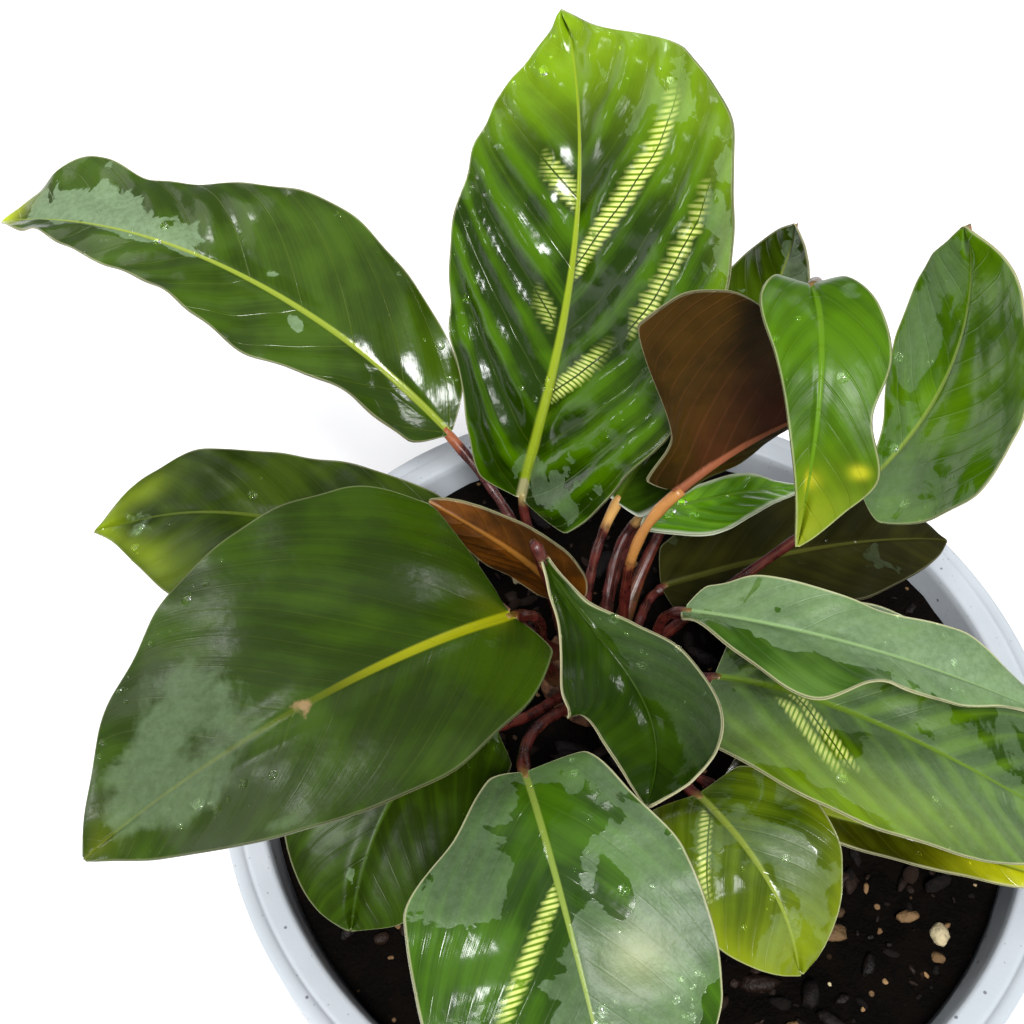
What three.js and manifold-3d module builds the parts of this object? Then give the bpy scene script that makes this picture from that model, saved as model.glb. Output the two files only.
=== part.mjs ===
// A young peacock plant (patterned prayer-plant family) growing in a plain nursery pot.
// Millimetres, +Z up, the pot standing on z = 0 with its axis on the z axis.
import * as THREE from 'three';
import { mergeVertices } from 'three/addons/utils/BufferGeometryUtils.js';
import Module from 'manifold-3d';

const wasm = await Module();
wasm.setup();

// Pot
const POT_HEIGHT = 120;
const RIM_RADIUS = 75;
const RIM_LIP_WIDTH = 6.8;
const RIM_SKIRT_HEIGHT = 16;
const RIM_ROUNDING = 1.2;
const BASE_RADIUS = 52;
const WALL = 2;
const FLOOR = 3;
const POT_SIDES = 48;
const DRAIN_HOLES = 6;
const DRAIN_RADIUS = 4.5;
const DRAIN_CIRCLE = 36;
const DRAIN_SIDES = 16;

// Soil and crown
const GAP = 0.3;
const SOIL_DROP = 7;
const SOIL_MOUND = 2;
const MOUND_SHOULDER = 0.8;
const CROWN_AT = new THREE.Vector2(-7, 12);
const CROWN_RADIUS = 11;
const CROWN_RISE = 5;
const CROWN_SIDES = 20;
const CROWN_LEVEL = POT_HEIGHT - SOIL_DROP + SOIL_MOUND;
const OUTER_RING = 8.3;
const INNER_RING = 4.2;
const STUB_RADIUS = 1.8;
const STUB_LENGTH = 10;
const STUB_ANGLE = 300;

// Leaves
const BLADE_THICKNESS = 0.8;
const BLADE_END_HALF_WIDTH = 1.1;
const BLADE_TIP_HALF_WIDTH = 0.4;
const LENGTH_STEPS = 10;
const HALF_STEPS = 3;
const PETIOLE_RADIUS = 1.1;
const PETIOLE_BOW = 0.35;
const PETIOLE_STEPS = 8;
const PETIOLE_SIDES = 6;
const LOBE_REACH = 0.3;
const LOBE_START = 0.06;
const WAVE_FULL_WIDTH = 12;
const RIB_SAMPLES = 96;
const NUDGE = 0.01;

// Where along the blade, from 0 at the petiole to 1 at the tip, a half-width is given.
const STATIONS = [0, 0.06, 0.2, 0.36, 0.54, 0.72, 0.86, 0.95, 1];
const PLAIN_OUTLINE = [0.6, 0.88, 1, 0.96, 0.78, 0.5, 0.26];

// Each leaf is laid out from the rim's centre, with z counted from the rim's top.
// sprout: where its stalk leaves the crown, as a distance from the centre and an angle.
// stalk: the two inner control points of its stalk, where it has to pass its neighbours.
// rib: the four control points of the midrib, from the petiole to the tip.
// left, right: half-widths at the inner stations, or one greatest half-width.
// lift: degrees that each half rises from the midrib, at the base, the middle and the tip.
// bank: degrees that the whole blade turns about its midrib, at the same three places.
// wave: height, count along the blade and start of the waves in each margin.
// lobe: how far each basal lobe reaches back past the petiole.
const LEAVES = [
  {
    name: 'upper_left',
    sprout: [OUTER_RING, 130],
    rib: [[-35, 49, 22], [-56, 62, 43], [-92, 84, 48], [-130, 100, 30]],
    left: [8.5, 9.5, 13.7, 10.8, 8, 4.6, 2.5],
    right: [9, 17.5, 22, 19, 14.5, 17.3, 11],
    lift: { left: [5, 0, 0], right: [25, 10, 5] },
    wave: { left: [1.5, 2.5, 0], right: [1.5, 2.2, 0.3] },
    lobe: 2,
  },
  {
    name: 'top',
    sprout: [OUTER_RING, 107],
    rib: [[-21, 38, 16], [-17, 43, 39], [-7, 57, 66], [-14, 86, 86]],
    left: [9, 15, 21.5, 23, 20.5, 15.5, 6.5],
    right: [14, 22, 29.5, 32, 30.3, 21.5, 5.5],
    lift: { left: [20, 12, 8], right: [20, 12, 8] },
    lobe: 4,
  },
  {
    name: 'middle_left',
    sprout: [OUTER_RING, 163],
    rib: [[-30, 20, 10], [-55, 29, 22], [-79, 33, 26], [-100, 31, 14]],
    left: [8, 16, 20, 21, 18, 10, 3.2],
    right: [8, 14.5, 14, 13.3, 13.3, 9.8, 5],
    lift: { left: [12, 5, 0], right: [15, 8, 3] },
    lobe: 2,
  },
  {
    name: 'front_left',
    sprout: [OUTER_RING, 197],
    rib: [[-23, 0, 36], [-38, -12, 48], [-60, -26, 50], [-82, -39, 36]],
    left: [9.5, 17.8, 20.4, 18.4, 13, 7.5, 3],
    right: [24, 32, 33, 30.5, 23, 14.5, 6.5],
    lift: { left: [8, 3, 0], right: [8, 3, 0] },
    lobe: 7,
  },
  {
    name: 'low_left',
    sprout: [OUTER_RING, 230],
    rib: [[-26, -8, 14], [-37, -12, 22], [-46, -26, 20], [-48, -40, 8]],
    left: [9, 12.2, 13.1, 13.4, 12.8, 10.8, 7.5],
    right: [7, 14, 17, 17, 14, 9.6, 5.5],
    lift: { left: [10, 5, 0], right: [10, 5, 0] },
    lobe: 1,
  },
  {
    name: 'front',
    sprout: [OUTER_RING, 254],
    rib: [[-21, -22, 26], [-18, -35, 33], [-14, -50, 30], [-8, -70, 14]],
    left: [10, 14.2, 18.6, 19.5, 18.5, 14, 7.5],
    right: [6, 13, 22.5, 23, 22, 17, 9],
    lift: { left: [15, 8, 0], right: [15, 8, 0] },
    lobe: 3,
  },
  {
    name: 'folded',
    sprout: [INNER_RING, 230],
    rib: [[-18, 8, 40], [-12, 1, 28], [6, -6, 20], [-3, -28, 28]],
    left: [1.5, 2, 6.5, 10.7, 12.5, 11, 7.5],
    right: [3, 10, 16, 17, 13, 8, 4],
    lift: { left: [60, 50, 40], right: [45, 30, 25] },
    lobe: 0,
  },
  {
    name: 'right_wavy',
    sprout: [OUTER_RING, 350],
    rib: [[6, 7, 26], [21, -3, 38], [40, -6, 34], [63, -10, 22]],
    left: [5.5, 8, 7.6, 7.2, 8, 5, 2.5],
    right: [4, 8.5, 13.2, 6.4, 5, 2.2, 1.2],
    lift: { left: [20, 10, 0], right: [20, 10, 0] },
    wave: { left: [1.5, 2.2, 0.6], right: [1.5, 2.2, 0.1] },
    lobe: 2,
  },
  {
    name: 'right_broad',
    sprout: [OUTER_RING, 328],
    rib: [[12, 1, 14], [26, -6, 24], [46, -16, 22], [70, -26, 10]],
    left: [12, 18, 20, 19, 16, 11, 6],
    right: [12, 17, 19, 18, 15, 10, 6],
    lift: { left: [12, 8, 0], right: [12, 8, 0] },
    lobe: 3,
  },
  {
    name: 'front_right_yellow',
    sprout: [OUTER_RING, 283],
    rib: [[8, -18, 8], [13, -28, 16], [20, -37, 14], [22, -45, 3]],
    left: 14,
    right: [9, 14, 16, 15, 12, 8, 4],
    lift: { left: [12, 8, 0], right: [12, 8, 0] },
    lobe: 2,
  },
  {
    name: 'low_right',
    sprout: [OUTER_RING, 305],
    rib: [[13, -14, 2], [30, -20, 8], [48, -28, 10], [70, -33, 5]],
    left: 14,
    right: 5,
    lift: { left: [10, 5, 0], right: [10, 5, 0] },
    lobe: 1,
  },
  {
    name: 'upright_purple',
    sprout: [INNER_RING, 30],
    rib: [[4, 22, 39], [10, 25, 43], [16, 28, 46], [26, 31, 49]],
    left: [3, 6, 8, 8, 7, 5, 3],
    right: [6, 9.5, 32, 32.5, 30, 24.5, 13],
    lift: { left: [20, 20, 20], right: [20, 20, 20] },
    bank: [88, 88, 88],
    lobe: 6,
  },
  {
    name: 'drooping',
    sprout: [OUTER_RING, 57],
    stalk: [[8, 50, 8], [34, 58, 62]],
    rib: [[21, 34, 74], [21, 24, 80], [20, 10, 74], [19, 3, 52]],
    left: [5, 8.3, 9.4, 7.4, 9.5, 5.5, 2.5],
    right: [5, 9.2, 6.7, 4.2, 2.6, 1.4, 0.8],
    lift: { left: [15, 10, 5], right: [15, 10, 5] },
    lobe: 2,
  },
  {
    name: 'far_right',
    sprout: [OUTER_RING, 12],
    rib: [[36, 25, 36], [44, 27, 48], [50, 32, 64], [43, 38, 82]],
    left: [1.5, 4.5, 9.2, 11.7, 10.8, 7.5, 3],
    right: [9, 16, 20, 20, 17, 13.5, 6.5],
    lift: { left: [15, 10, 5], right: [15, 10, 5] },
    lobe: 3,
  },
  {
    name: 'inner_brown',
    sprout: [INNER_RING, 165],
    rib: [[-13, 17, 12], [-16, 17, 22], [-24, 19, 29], [-37, 24, 34]],
    left: 7,
    right: 10,
    lift: { left: [15, 10, 5], right: [15, 10, 5] },
    bank: [-80, -80, -80],
    lobe: 1,
  },
  {
    name: 'inner_narrow',
    sprout: [INNER_RING, 120],
    rib: [[-4, 32, 23], [1, 37, 31], [7, 43, 39], [8, 52, 51]],
    left: [3.3, 4.8, 5.5, 5.3, 4.3, 2.8, 1.4],
    right: 11,
    lift: { left: [15, 10, 5], right: [15, 10, 5] },
    lobe: 2,
  },
  {
    name: 'inner_bright',
    sprout: [INNER_RING, 75],
    rib: [[2, 33, 18], [9, 31, 24], [18, 33, 25], [31, 37, 21]],
    left: [1.5, 2.2, 4.1, 4.8, 4.2, 2.2, 1.2],
    right: [5, 8, 10.3, 7.4, 4.5, 2.6, 1.3],
    lift: { left: [15, 10, 5], right: [15, 10, 5] },
    lobe: 2,
  },
  {
    name: 'back',
    sprout: [OUTER_RING, 80],
    rib: [[12, 55, 16], [20, 62, 30], [27, 64, 44], [26, 64, 60]],
    left: 11,
    right: 11,
    lift: { left: [15, 10, 5], right: [15, 10, 5] },
    lobe: 2,
  },
  {
    name: 'low_back',
    sprout: [OUTER_RING, 35],
    rib: [[6, 27, 2], [24, 30, 8], [44, 34, 10], [62, 36, 5]],
    left: 14,
    right: 14,
    lift: { left: [10, 5, 0], right: [10, 5, 0] },
    lobe: 2,
  },
];

const potPlastic = { color: 0xc9ccd4, roughness: 0.45, metalness: 0 };
const wetSoil = { color: 0x2a1c14, roughness: 0.95, metalness: 0 };
const rootstock = { color: 0x5a3524, roughness: 0.8, metalness: 0 };
const leafGreen = { color: 0x2f5a1c, roughness: 0.35, metalness: 0 };
const stalkRed = { color: 0x4a1c1c, roughness: 0.5, metalness: 0 };

// Smooth curve through the half-widths, one value for a place u along the blade.
function halfWidth(widths, u) {
  const inner = Array.isArray(widths) ? widths : PLAIN_OUTLINE.map((part) => part * widths);
  const values = [BLADE_END_HALF_WIDTH, ...inner, BLADE_TIP_HALF_WIDTH];
  const last = STATIONS.length - 1;
  let i = STATIONS.findIndex((station) => station > u) - 1;
  if (i < 0) i = last - 1;
  const slope = (k) => (values[k + 1] - values[k]) / (STATIONS[k + 1] - STATIONS[k]);
  const tangent = (k) => {
    if (k === 0) return slope(0);
    if (k === last) return slope(last - 1);
    const product = slope(k - 1) * slope(k);
    return product <= 0 ? 0 : (2 * product) / (slope(k - 1) + slope(k));
  };
  const span = STATIONS[i + 1] - STATIONS[i];
  const t = (u - STATIONS[i]) / span;
  const stay = (1 + 2 * t) * (1 - t) ** 2;
  const go = t * t * (3 - 2 * t);
  const leave = t * (1 - t) ** 2 * span;
  const arrive = t * t * (t - 1) * span;
  return stay * values[i] + go * values[i + 1] + leave * tangent(i) + arrive * tangent(i + 1);
}

// A value that runs smoothly from the base through the middle to the tip.
function along([base, middle, tip], u) {
  if (u < 0.5) return base + (middle - base) * THREE.MathUtils.smoothstep(u, 0, 0.5);
  return middle + (tip - middle) * THREE.MathUtils.smoothstep(u, 0.5, 1);
}

// Leaves are laid out from the rim, and the pot stands on the table.
function aboveTable([x, y, z]) {
  return new THREE.Vector3(x, y, z + POT_HEIGHT);
}

// The midrib with a frame that doesn't twist: forward, across (to the right) and up.
function midribFrames(leaf) {
  const curve = new THREE.CubicBezierCurve3(...leaf.rib.map(aboveTable));
  const frames = [];
  let up = new THREE.Vector3(0, 0, 1);
  for (let i = 0; i <= RIB_SAMPLES; i += 1) {
    const forward = curve.getTangentAt(i / RIB_SAMPLES);
    up = up.clone().addScaledVector(forward, -up.dot(forward)).normalize();
    const across = forward.clone().cross(up);
    const bank = THREE.MathUtils.degToRad(along(leaf.bank ?? [0, 0, 0], i / RIB_SAMPLES));
    frames.push({
      at: curve.getPointAt(i / RIB_SAMPLES),
      forward,
      across: across.clone().multiplyScalar(Math.cos(bank)).addScaledVector(up, Math.sin(bank)),
      up: up.clone().multiplyScalar(Math.cos(bank)).addScaledVector(across, -Math.sin(bank)),
    });
  }
  return frames;
}

function frameAt(frames, u) {
  const place = THREE.MathUtils.clamp(u, 0, 1) * (frames.length - 1);
  const i = Math.min(Math.floor(place), frames.length - 2);
  const mix = (key) => frames[i][key].clone().lerp(frames[i + 1][key], place - i);
  return { at: mix('at'), forward: mix('forward'), across: mix('across'), up: mix('up') };
}

// A point of the blade's middle surface; v runs from -1 at the left margin to 1 at the right.
function bladePoint(leaf, frames, u, v) {
  const side = v < 0 ? 'left' : 'right';
  const out = Math.abs(v);
  const width = halfWidth(leaf[side], u);
  const lift = THREE.MathUtils.degToRad(along(leaf.lift[side], u));
  const [height, count, start] = leaf.wave?.[side] ?? [0, 0, 0];
  const fullness = Math.min(width / WAVE_FULL_WIDTH, 1);
  const wave = height * fullness * out ** 2 * Math.sin(2 * Math.PI * (count * u + start));
  const nearBase = Math.max(1 - u / LOBE_REACH, 0) ** 2 * Math.min(u / LOBE_START, 1);
  const back = leaf.lobe * out ** 1.5 * nearBase;
  const frame = frameAt(frames, u);
  return frame.at
    .addScaledVector(frame.across, v * width * Math.cos(lift))
    .addScaledVector(frame.up, out * width * Math.sin(lift) + wave)
    .addScaledVector(frame.forward, -back);
}

// A flat plate bent to the blade: its length follows the midrib, its width the outline.
function bladeGeometry(leaf) {
  const frames = midribFrames(leaf);
  const plate = new THREE.BoxGeometry(1, 2, 1, LENGTH_STEPS, 2 * HALF_STEPS, 1);
  plate.deleteAttribute('normal');
  plate.deleteAttribute('uv');
  const blade = mergeVertices(plate);
  const places = blade.attributes.position;
  for (let i = 0; i < places.count; i += 1) {
    const u = places.getX(i) + 0.5;
    const v = places.getY(i);
    const alongU = bladePoint(leaf, frames, Math.min(u + NUDGE, 1), v);
    alongU.sub(bladePoint(leaf, frames, Math.max(u - NUDGE, 0), v));
    const alongV = bladePoint(leaf, frames, u, Math.min(v + NUDGE, 1));
    alongV.sub(bladePoint(leaf, frames, u, Math.max(v - NUDGE, -1)));
    const downward = alongU.cross(alongV).normalize();
    const point = bladePoint(leaf, frames, u, v);
    point.addScaledVector(downward, places.getZ(i) * BLADE_THICKNESS);
    places.setXYZ(i, point.x, point.y, point.z);
  }
  blade.computeVertexNormals();
  return blade;
}

function tubeGeometry(path, radius, steps, sides) {
  const ring = new THREE.Shape();
  ring.absarc(0, 0, radius, 0, 2 * Math.PI);
  return new THREE.ExtrudeGeometry(ring, {
    extrudePath: path,
    steps,
    curveSegments: sides / 2,
    bevelEnabled: false,
  });
}

// A point on the crown's domed top, and the direction that the dome faces there.
function crownPlace(distance, angle) {
  const turn = THREE.MathUtils.degToRad(angle);
  const x = distance * Math.cos(turn);
  const y = distance * Math.sin(turn);
  const height = CROWN_RISE * Math.sqrt(1 - (distance / CROWN_RADIUS) ** 2);
  const at = new THREE.Vector3(CROWN_AT.x + x, CROWN_AT.y + y, CROWN_LEVEL + height);
  const spread = CROWN_RADIUS ** 2;
  const facing = new THREE.Vector3(x / spread, y / spread, height / CROWN_RISE ** 2).normalize();
  return { at, facing };
}

// A round end that leans from its seat stands off by as much as its edge dips.
function standOff(facing, heading) {
  const lean = heading.clone().normalize().cross(facing).length();
  return GAP + PETIOLE_RADIUS * lean;
}

// The stalk leaves the crown square to it and meets the blade in line with the midrib,
// unless its bends are given.
function petioleGeometry(leaf) {
  const crown = crownPlace(...leaf.sprout);
  const { at: bladeBase, forward } = midribFrames(leaf)[0];
  const reach = crown.at.distanceTo(bladeBase) * PETIOLE_BOW;
  const square = [
    crown.at.clone().addScaledVector(crown.facing, reach),
    bladeBase.clone().addScaledVector(forward, -reach),
  ];
  const [low, high] = leaf.stalk?.map(aboveTable) ?? square;
  const lowGap = standOff(crown.facing, low.clone().sub(crown.at));
  const highGap = standOff(forward, bladeBase.clone().sub(high));
  const path = new THREE.CubicBezierCurve3(
    crown.at.clone().addScaledVector(crown.facing, lowGap),
    low,
    high,
    bladeBase.clone().addScaledVector(forward, -highGap),
  );
  return tubeGeometry(path, PETIOLE_RADIUS, PETIOLE_STEPS, PETIOLE_SIDES);
}

function stubGeometry() {
  const crown = crownPlace(INNER_RING, STUB_ANGLE);
  const start = crown.at.addScaledVector(crown.facing, GAP);
  const end = start.clone().addScaledVector(crown.facing, STUB_LENGTH);
  return tubeGeometry(new THREE.LineCurve3(start, end), STUB_RADIUS, 1, PETIOLE_SIDES);
}

// Turned about z, with three's lathe axis stood up from y.
function latheGeometry(profile, sides) {
  const points = profile.map(([radius, z]) => new THREE.Vector2(radius, z));
  return new THREE.LatheGeometry(points, sides).rotateX(Math.PI / 2);
}

function toSolid(geometry) {
  const bare = geometry.clone();
  bare.deleteAttribute('normal');
  bare.deleteAttribute('uv');
  const merged = mergeVertices(bare);
  return new wasm.Manifold(new wasm.Mesh({
    numProp: 3,
    vertProperties: Float32Array.from(merged.attributes.position.array),
    triVerts: Uint32Array.from(merged.index.array),
  }));
}

function toGeometry(solid) {
  const mesh = solid.getMesh();
  const geometry = new THREE.BufferGeometry();
  geometry.setAttribute('position', new THREE.BufferAttribute(mesh.vertProperties, 3));
  geometry.setIndex(new THREE.BufferAttribute(mesh.triVerts, 1));
  geometry.computeVertexNormals();
  return geometry;
}

// Radius of the pot's inner wall at a height.
function innerRadius(z) {
  const mouth = RIM_RADIUS - RIM_LIP_WIDTH;
  const floorRadius = BASE_RADIUS - WALL;
  return floorRadius + (mouth - floorRadius) * (z / POT_HEIGHT);
}

// A tapering shell with a broad lip that turns down into a skirt.
function potGeometry() {
  const mouth = innerRadius(POT_HEIGHT);
  const skirtFoot = POT_HEIGHT - RIM_SKIRT_HEIGHT;
  const underLip = POT_HEIGHT - WALL;
  const shell = latheGeometry([
    [0, 0],
    [BASE_RADIUS, 0],
    [innerRadius(underLip) + WALL, underLip],
    [RIM_RADIUS - WALL, underLip],
    [RIM_RADIUS - WALL, skirtFoot],
    [RIM_RADIUS, skirtFoot],
    [RIM_RADIUS, POT_HEIGHT - RIM_ROUNDING],
    [RIM_RADIUS - RIM_ROUNDING, POT_HEIGHT],
    [mouth + RIM_ROUNDING, POT_HEIGHT],
    [mouth, POT_HEIGHT - RIM_ROUNDING],
    [innerRadius(FLOOR), FLOOR],
    [0, FLOOR],
  ], POT_SIDES);
  let pot = toSolid(shell);
  for (let i = 0; i < DRAIN_HOLES; i += 1) {
    const turn = (2 * Math.PI * i) / DRAIN_HOLES;
    const hole = new THREE.CylinderGeometry(DRAIN_RADIUS, DRAIN_RADIUS, 4 * FLOOR, DRAIN_SIDES);
    hole.rotateX(Math.PI / 2);
    hole.translate(DRAIN_CIRCLE * Math.cos(turn), DRAIN_CIRCLE * Math.sin(turn), 0);
    pot = pot.subtract(toSolid(hole));
  }
  return toGeometry(pot);
}

function crownSolid(room) {
  const ball = new THREE.SphereGeometry(1, CROWN_SIDES, CROWN_SIDES / 2);
  ball.rotateX(Math.PI / 2);
  ball.scale(CROWN_RADIUS + room, CROWN_RADIUS + room, CROWN_RISE + room);
  ball.translate(CROWN_AT.x, CROWN_AT.y, CROWN_LEVEL);
  return toSolid(ball);
}

// The soil fills the pot to just under the rim and leaves a seat for the crown.
function soilGeometry() {
  const edge = POT_HEIGHT - SOIL_DROP;
  const bottom = FLOOR + GAP;
  const body = latheGeometry([
    [0, bottom],
    [innerRadius(bottom) - GAP, bottom],
    [innerRadius(edge) - GAP, edge],
    [RIM_RADIUS / 2, edge + SOIL_MOUND * MOUND_SHOULDER],
    [0, edge + SOIL_MOUND],
  ], POT_SIDES);
  return toGeometry(toSolid(body).subtract(crownSolid(GAP)));
}

const plant = new THREE.Group();

function addPiece(name, geometry, look, parent) {
  const piece = new THREE.Mesh(geometry, new THREE.MeshStandardMaterial(look));
  piece.name = name;
  parent.add(piece);
}

addPiece('pot', potGeometry(), potPlastic, plant);
addPiece('soil', soilGeometry(), wetSoil, plant);
addPiece('crown', toGeometry(crownSolid(0)), rootstock, plant);
addPiece('cut_stub', stubGeometry(), rootstock, plant);

for (const leaf of LEAVES) {
  const group = new THREE.Group();
  addPiece(`blade_${leaf.name}`, bladeGeometry(leaf), leafGreen, group);
  addPiece(`stalk_${leaf.name}`, petioleGeometry(leaf), stalkRed, group);
  plant.add(group);
}

export default plant;
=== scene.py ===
"""A young peacock plant in its nursery pot, with its surfaces and colours.

Leaves are laid out in millimetres from the rim's centre. Lengths are in millimetres throughout, and each
mesh is scaled to metres as it is made.
"""

import math

import bmesh
import bpy
import numpy as np
from mathutils import Matrix, Vector, noise


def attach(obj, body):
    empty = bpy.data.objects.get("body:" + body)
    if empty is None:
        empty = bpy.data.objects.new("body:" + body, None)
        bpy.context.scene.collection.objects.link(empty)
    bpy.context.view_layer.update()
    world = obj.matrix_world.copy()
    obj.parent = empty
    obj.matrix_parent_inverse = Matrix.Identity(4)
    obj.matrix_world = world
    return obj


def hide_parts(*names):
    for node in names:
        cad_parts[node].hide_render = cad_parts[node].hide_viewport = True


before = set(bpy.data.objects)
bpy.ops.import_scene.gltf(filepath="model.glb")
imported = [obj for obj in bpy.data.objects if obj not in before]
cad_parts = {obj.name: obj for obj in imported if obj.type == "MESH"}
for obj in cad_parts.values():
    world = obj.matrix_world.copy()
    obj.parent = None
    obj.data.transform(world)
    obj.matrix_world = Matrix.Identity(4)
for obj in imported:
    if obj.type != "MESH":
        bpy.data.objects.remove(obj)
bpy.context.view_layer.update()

MM = 0.001

# Pot, soil and crown
POT_HEIGHT = 120.0
RIM_RADIUS = 75.0
RIM_LIP_WIDTH = 6.8
RIM_SKIRT_HEIGHT = 16.0
BASE_RADIUS = 52.0
WALL = 2.0
FLOOR = 3.0
FOOT_HEIGHT = 2.2
FOOT_WIDTH = 7.0
DRAIN_HOLES = 6
DRAIN_RADIUS = 4.5
DRAIN_CIRCLE = 36.0
GAP = 0.3
SOIL_DROP = 7.0
SOIL_MOUND = 2.0
SOIL_EDGE = POT_HEIGHT - SOIL_DROP
CROWN_AT = np.array([-7.0, 12.0])
CROWN_RADIUS = 11.0
CROWN_RISE = 5.0
CROWN_LEVEL = SOIL_EDGE + SOIL_MOUND
OUTER_RING = 8.3
INNER_RING = 4.2
STUB_RADIUS = 1.8
STUB_LENGTH = 10.0
STUB_ANGLE = 300

# Camera, fitted to the pot's rim in the photograph
CAMERA_ELEVATION = math.radians(53.9)
CAMERA_DISTANCE = 244.7
CAMERA_TARGET = np.array([-22.95, 46.4, POT_HEIGHT])
CAMERA_FOCAL = 42.2
SENSOR_WIDTH = 36.0

# Blades and petioles
BLADE_END_HALF_WIDTH = 1.1
BLADE_TIP_HALF_WIDTH = 0.4
LOBE_REACH = 0.3
LOBE_START = 0.06
WAVE_FULL_WIDTH = 12.0
RIB_SAMPLES = 96
NUDGE = 0.005
STATIONS = np.array([0, 0.06, 0.2, 0.36, 0.54, 0.72, 0.86, 0.95, 1])
PLAIN_OUTLINE = np.array([0.6, 0.88, 1, 0.96, 0.78, 0.5, 0.26])
PETIOLE_RADIUS = 1.1
PETIOLE_BOW = 0.35


def tint(red, green, blue):
    """A colour given as it looks on a screen, from 0 to 255, as the renderer wants it."""
    shares = np.array([red, green, blue]) / 255
    linear = np.where(shares <= 0.04045, shares / 12.92, ((shares + 0.055) / 1.055) ** 2.4)
    return (*map(float, linear), 1.0)


# How a leaf looks, unless LOOKS says otherwise. Places on a blade are (u, v), from the petiole to the tip
# and from the left margin at -1 to the right margin at 1. Spots are (u, v, reach along u, reach along v,
# strength). Colours are as they look on a screen.
USUAL_LOOK = dict(
    # Upper side: dark and light patches, aged spots, midrib and margin
    dark=(34, 54, 4), light=(58, 84, 10), tip=(190, 190, 50), yellow=(),
    rib=(134, 150, 48), rib_width=0.85, rib_fades=1.0, dry_rib=0.0,
    margin=(180, 178, 138), margin_width=0.3, margin_strength=0.4,
    # Side veins: distance as a share of the length, height of the pleats in mm, and depth of the
    # painted shade in the vein valleys and painted light on the pleat crests
    vein_share=0.105, pleat=0.26, pleat_shading=0.2, veins=0.05,
    # Water film: share of the blade that has dried, spots that are dry (or wet if negative), softness of
    # the film's edges, how much the dried film's grey coat hides (the coat is partly residue and partly
    # painted sheen), roughness where wet, and how strongly it mirrors
    dry=0.0, film=(), soft=0.02, film_strength=0.5, wet_roughness=0.13, shine=0.5,
    # Pale ladders beside side veins: (side, vein's place on the midrib in mm, nearest and farthest |v|,
    # half-width in mm, strength)
    streaks=(),
    # A scar, and groups of water drops as (u, v, spread along u, spread along v, count)
    scar=None, drops=((0.5, 0.0, 0.2, 0.4, 4),),
    # Underside, its flushed spots, and the petiole's joint with the blade
    under=(92, 52, 34), under_dark=(56, 32, 26), under_rib=(150, 104, 66),
    flush=(110, 50, 40), flushed=(), joint=(104, 92, 44), joint_from=0.93)

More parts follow.
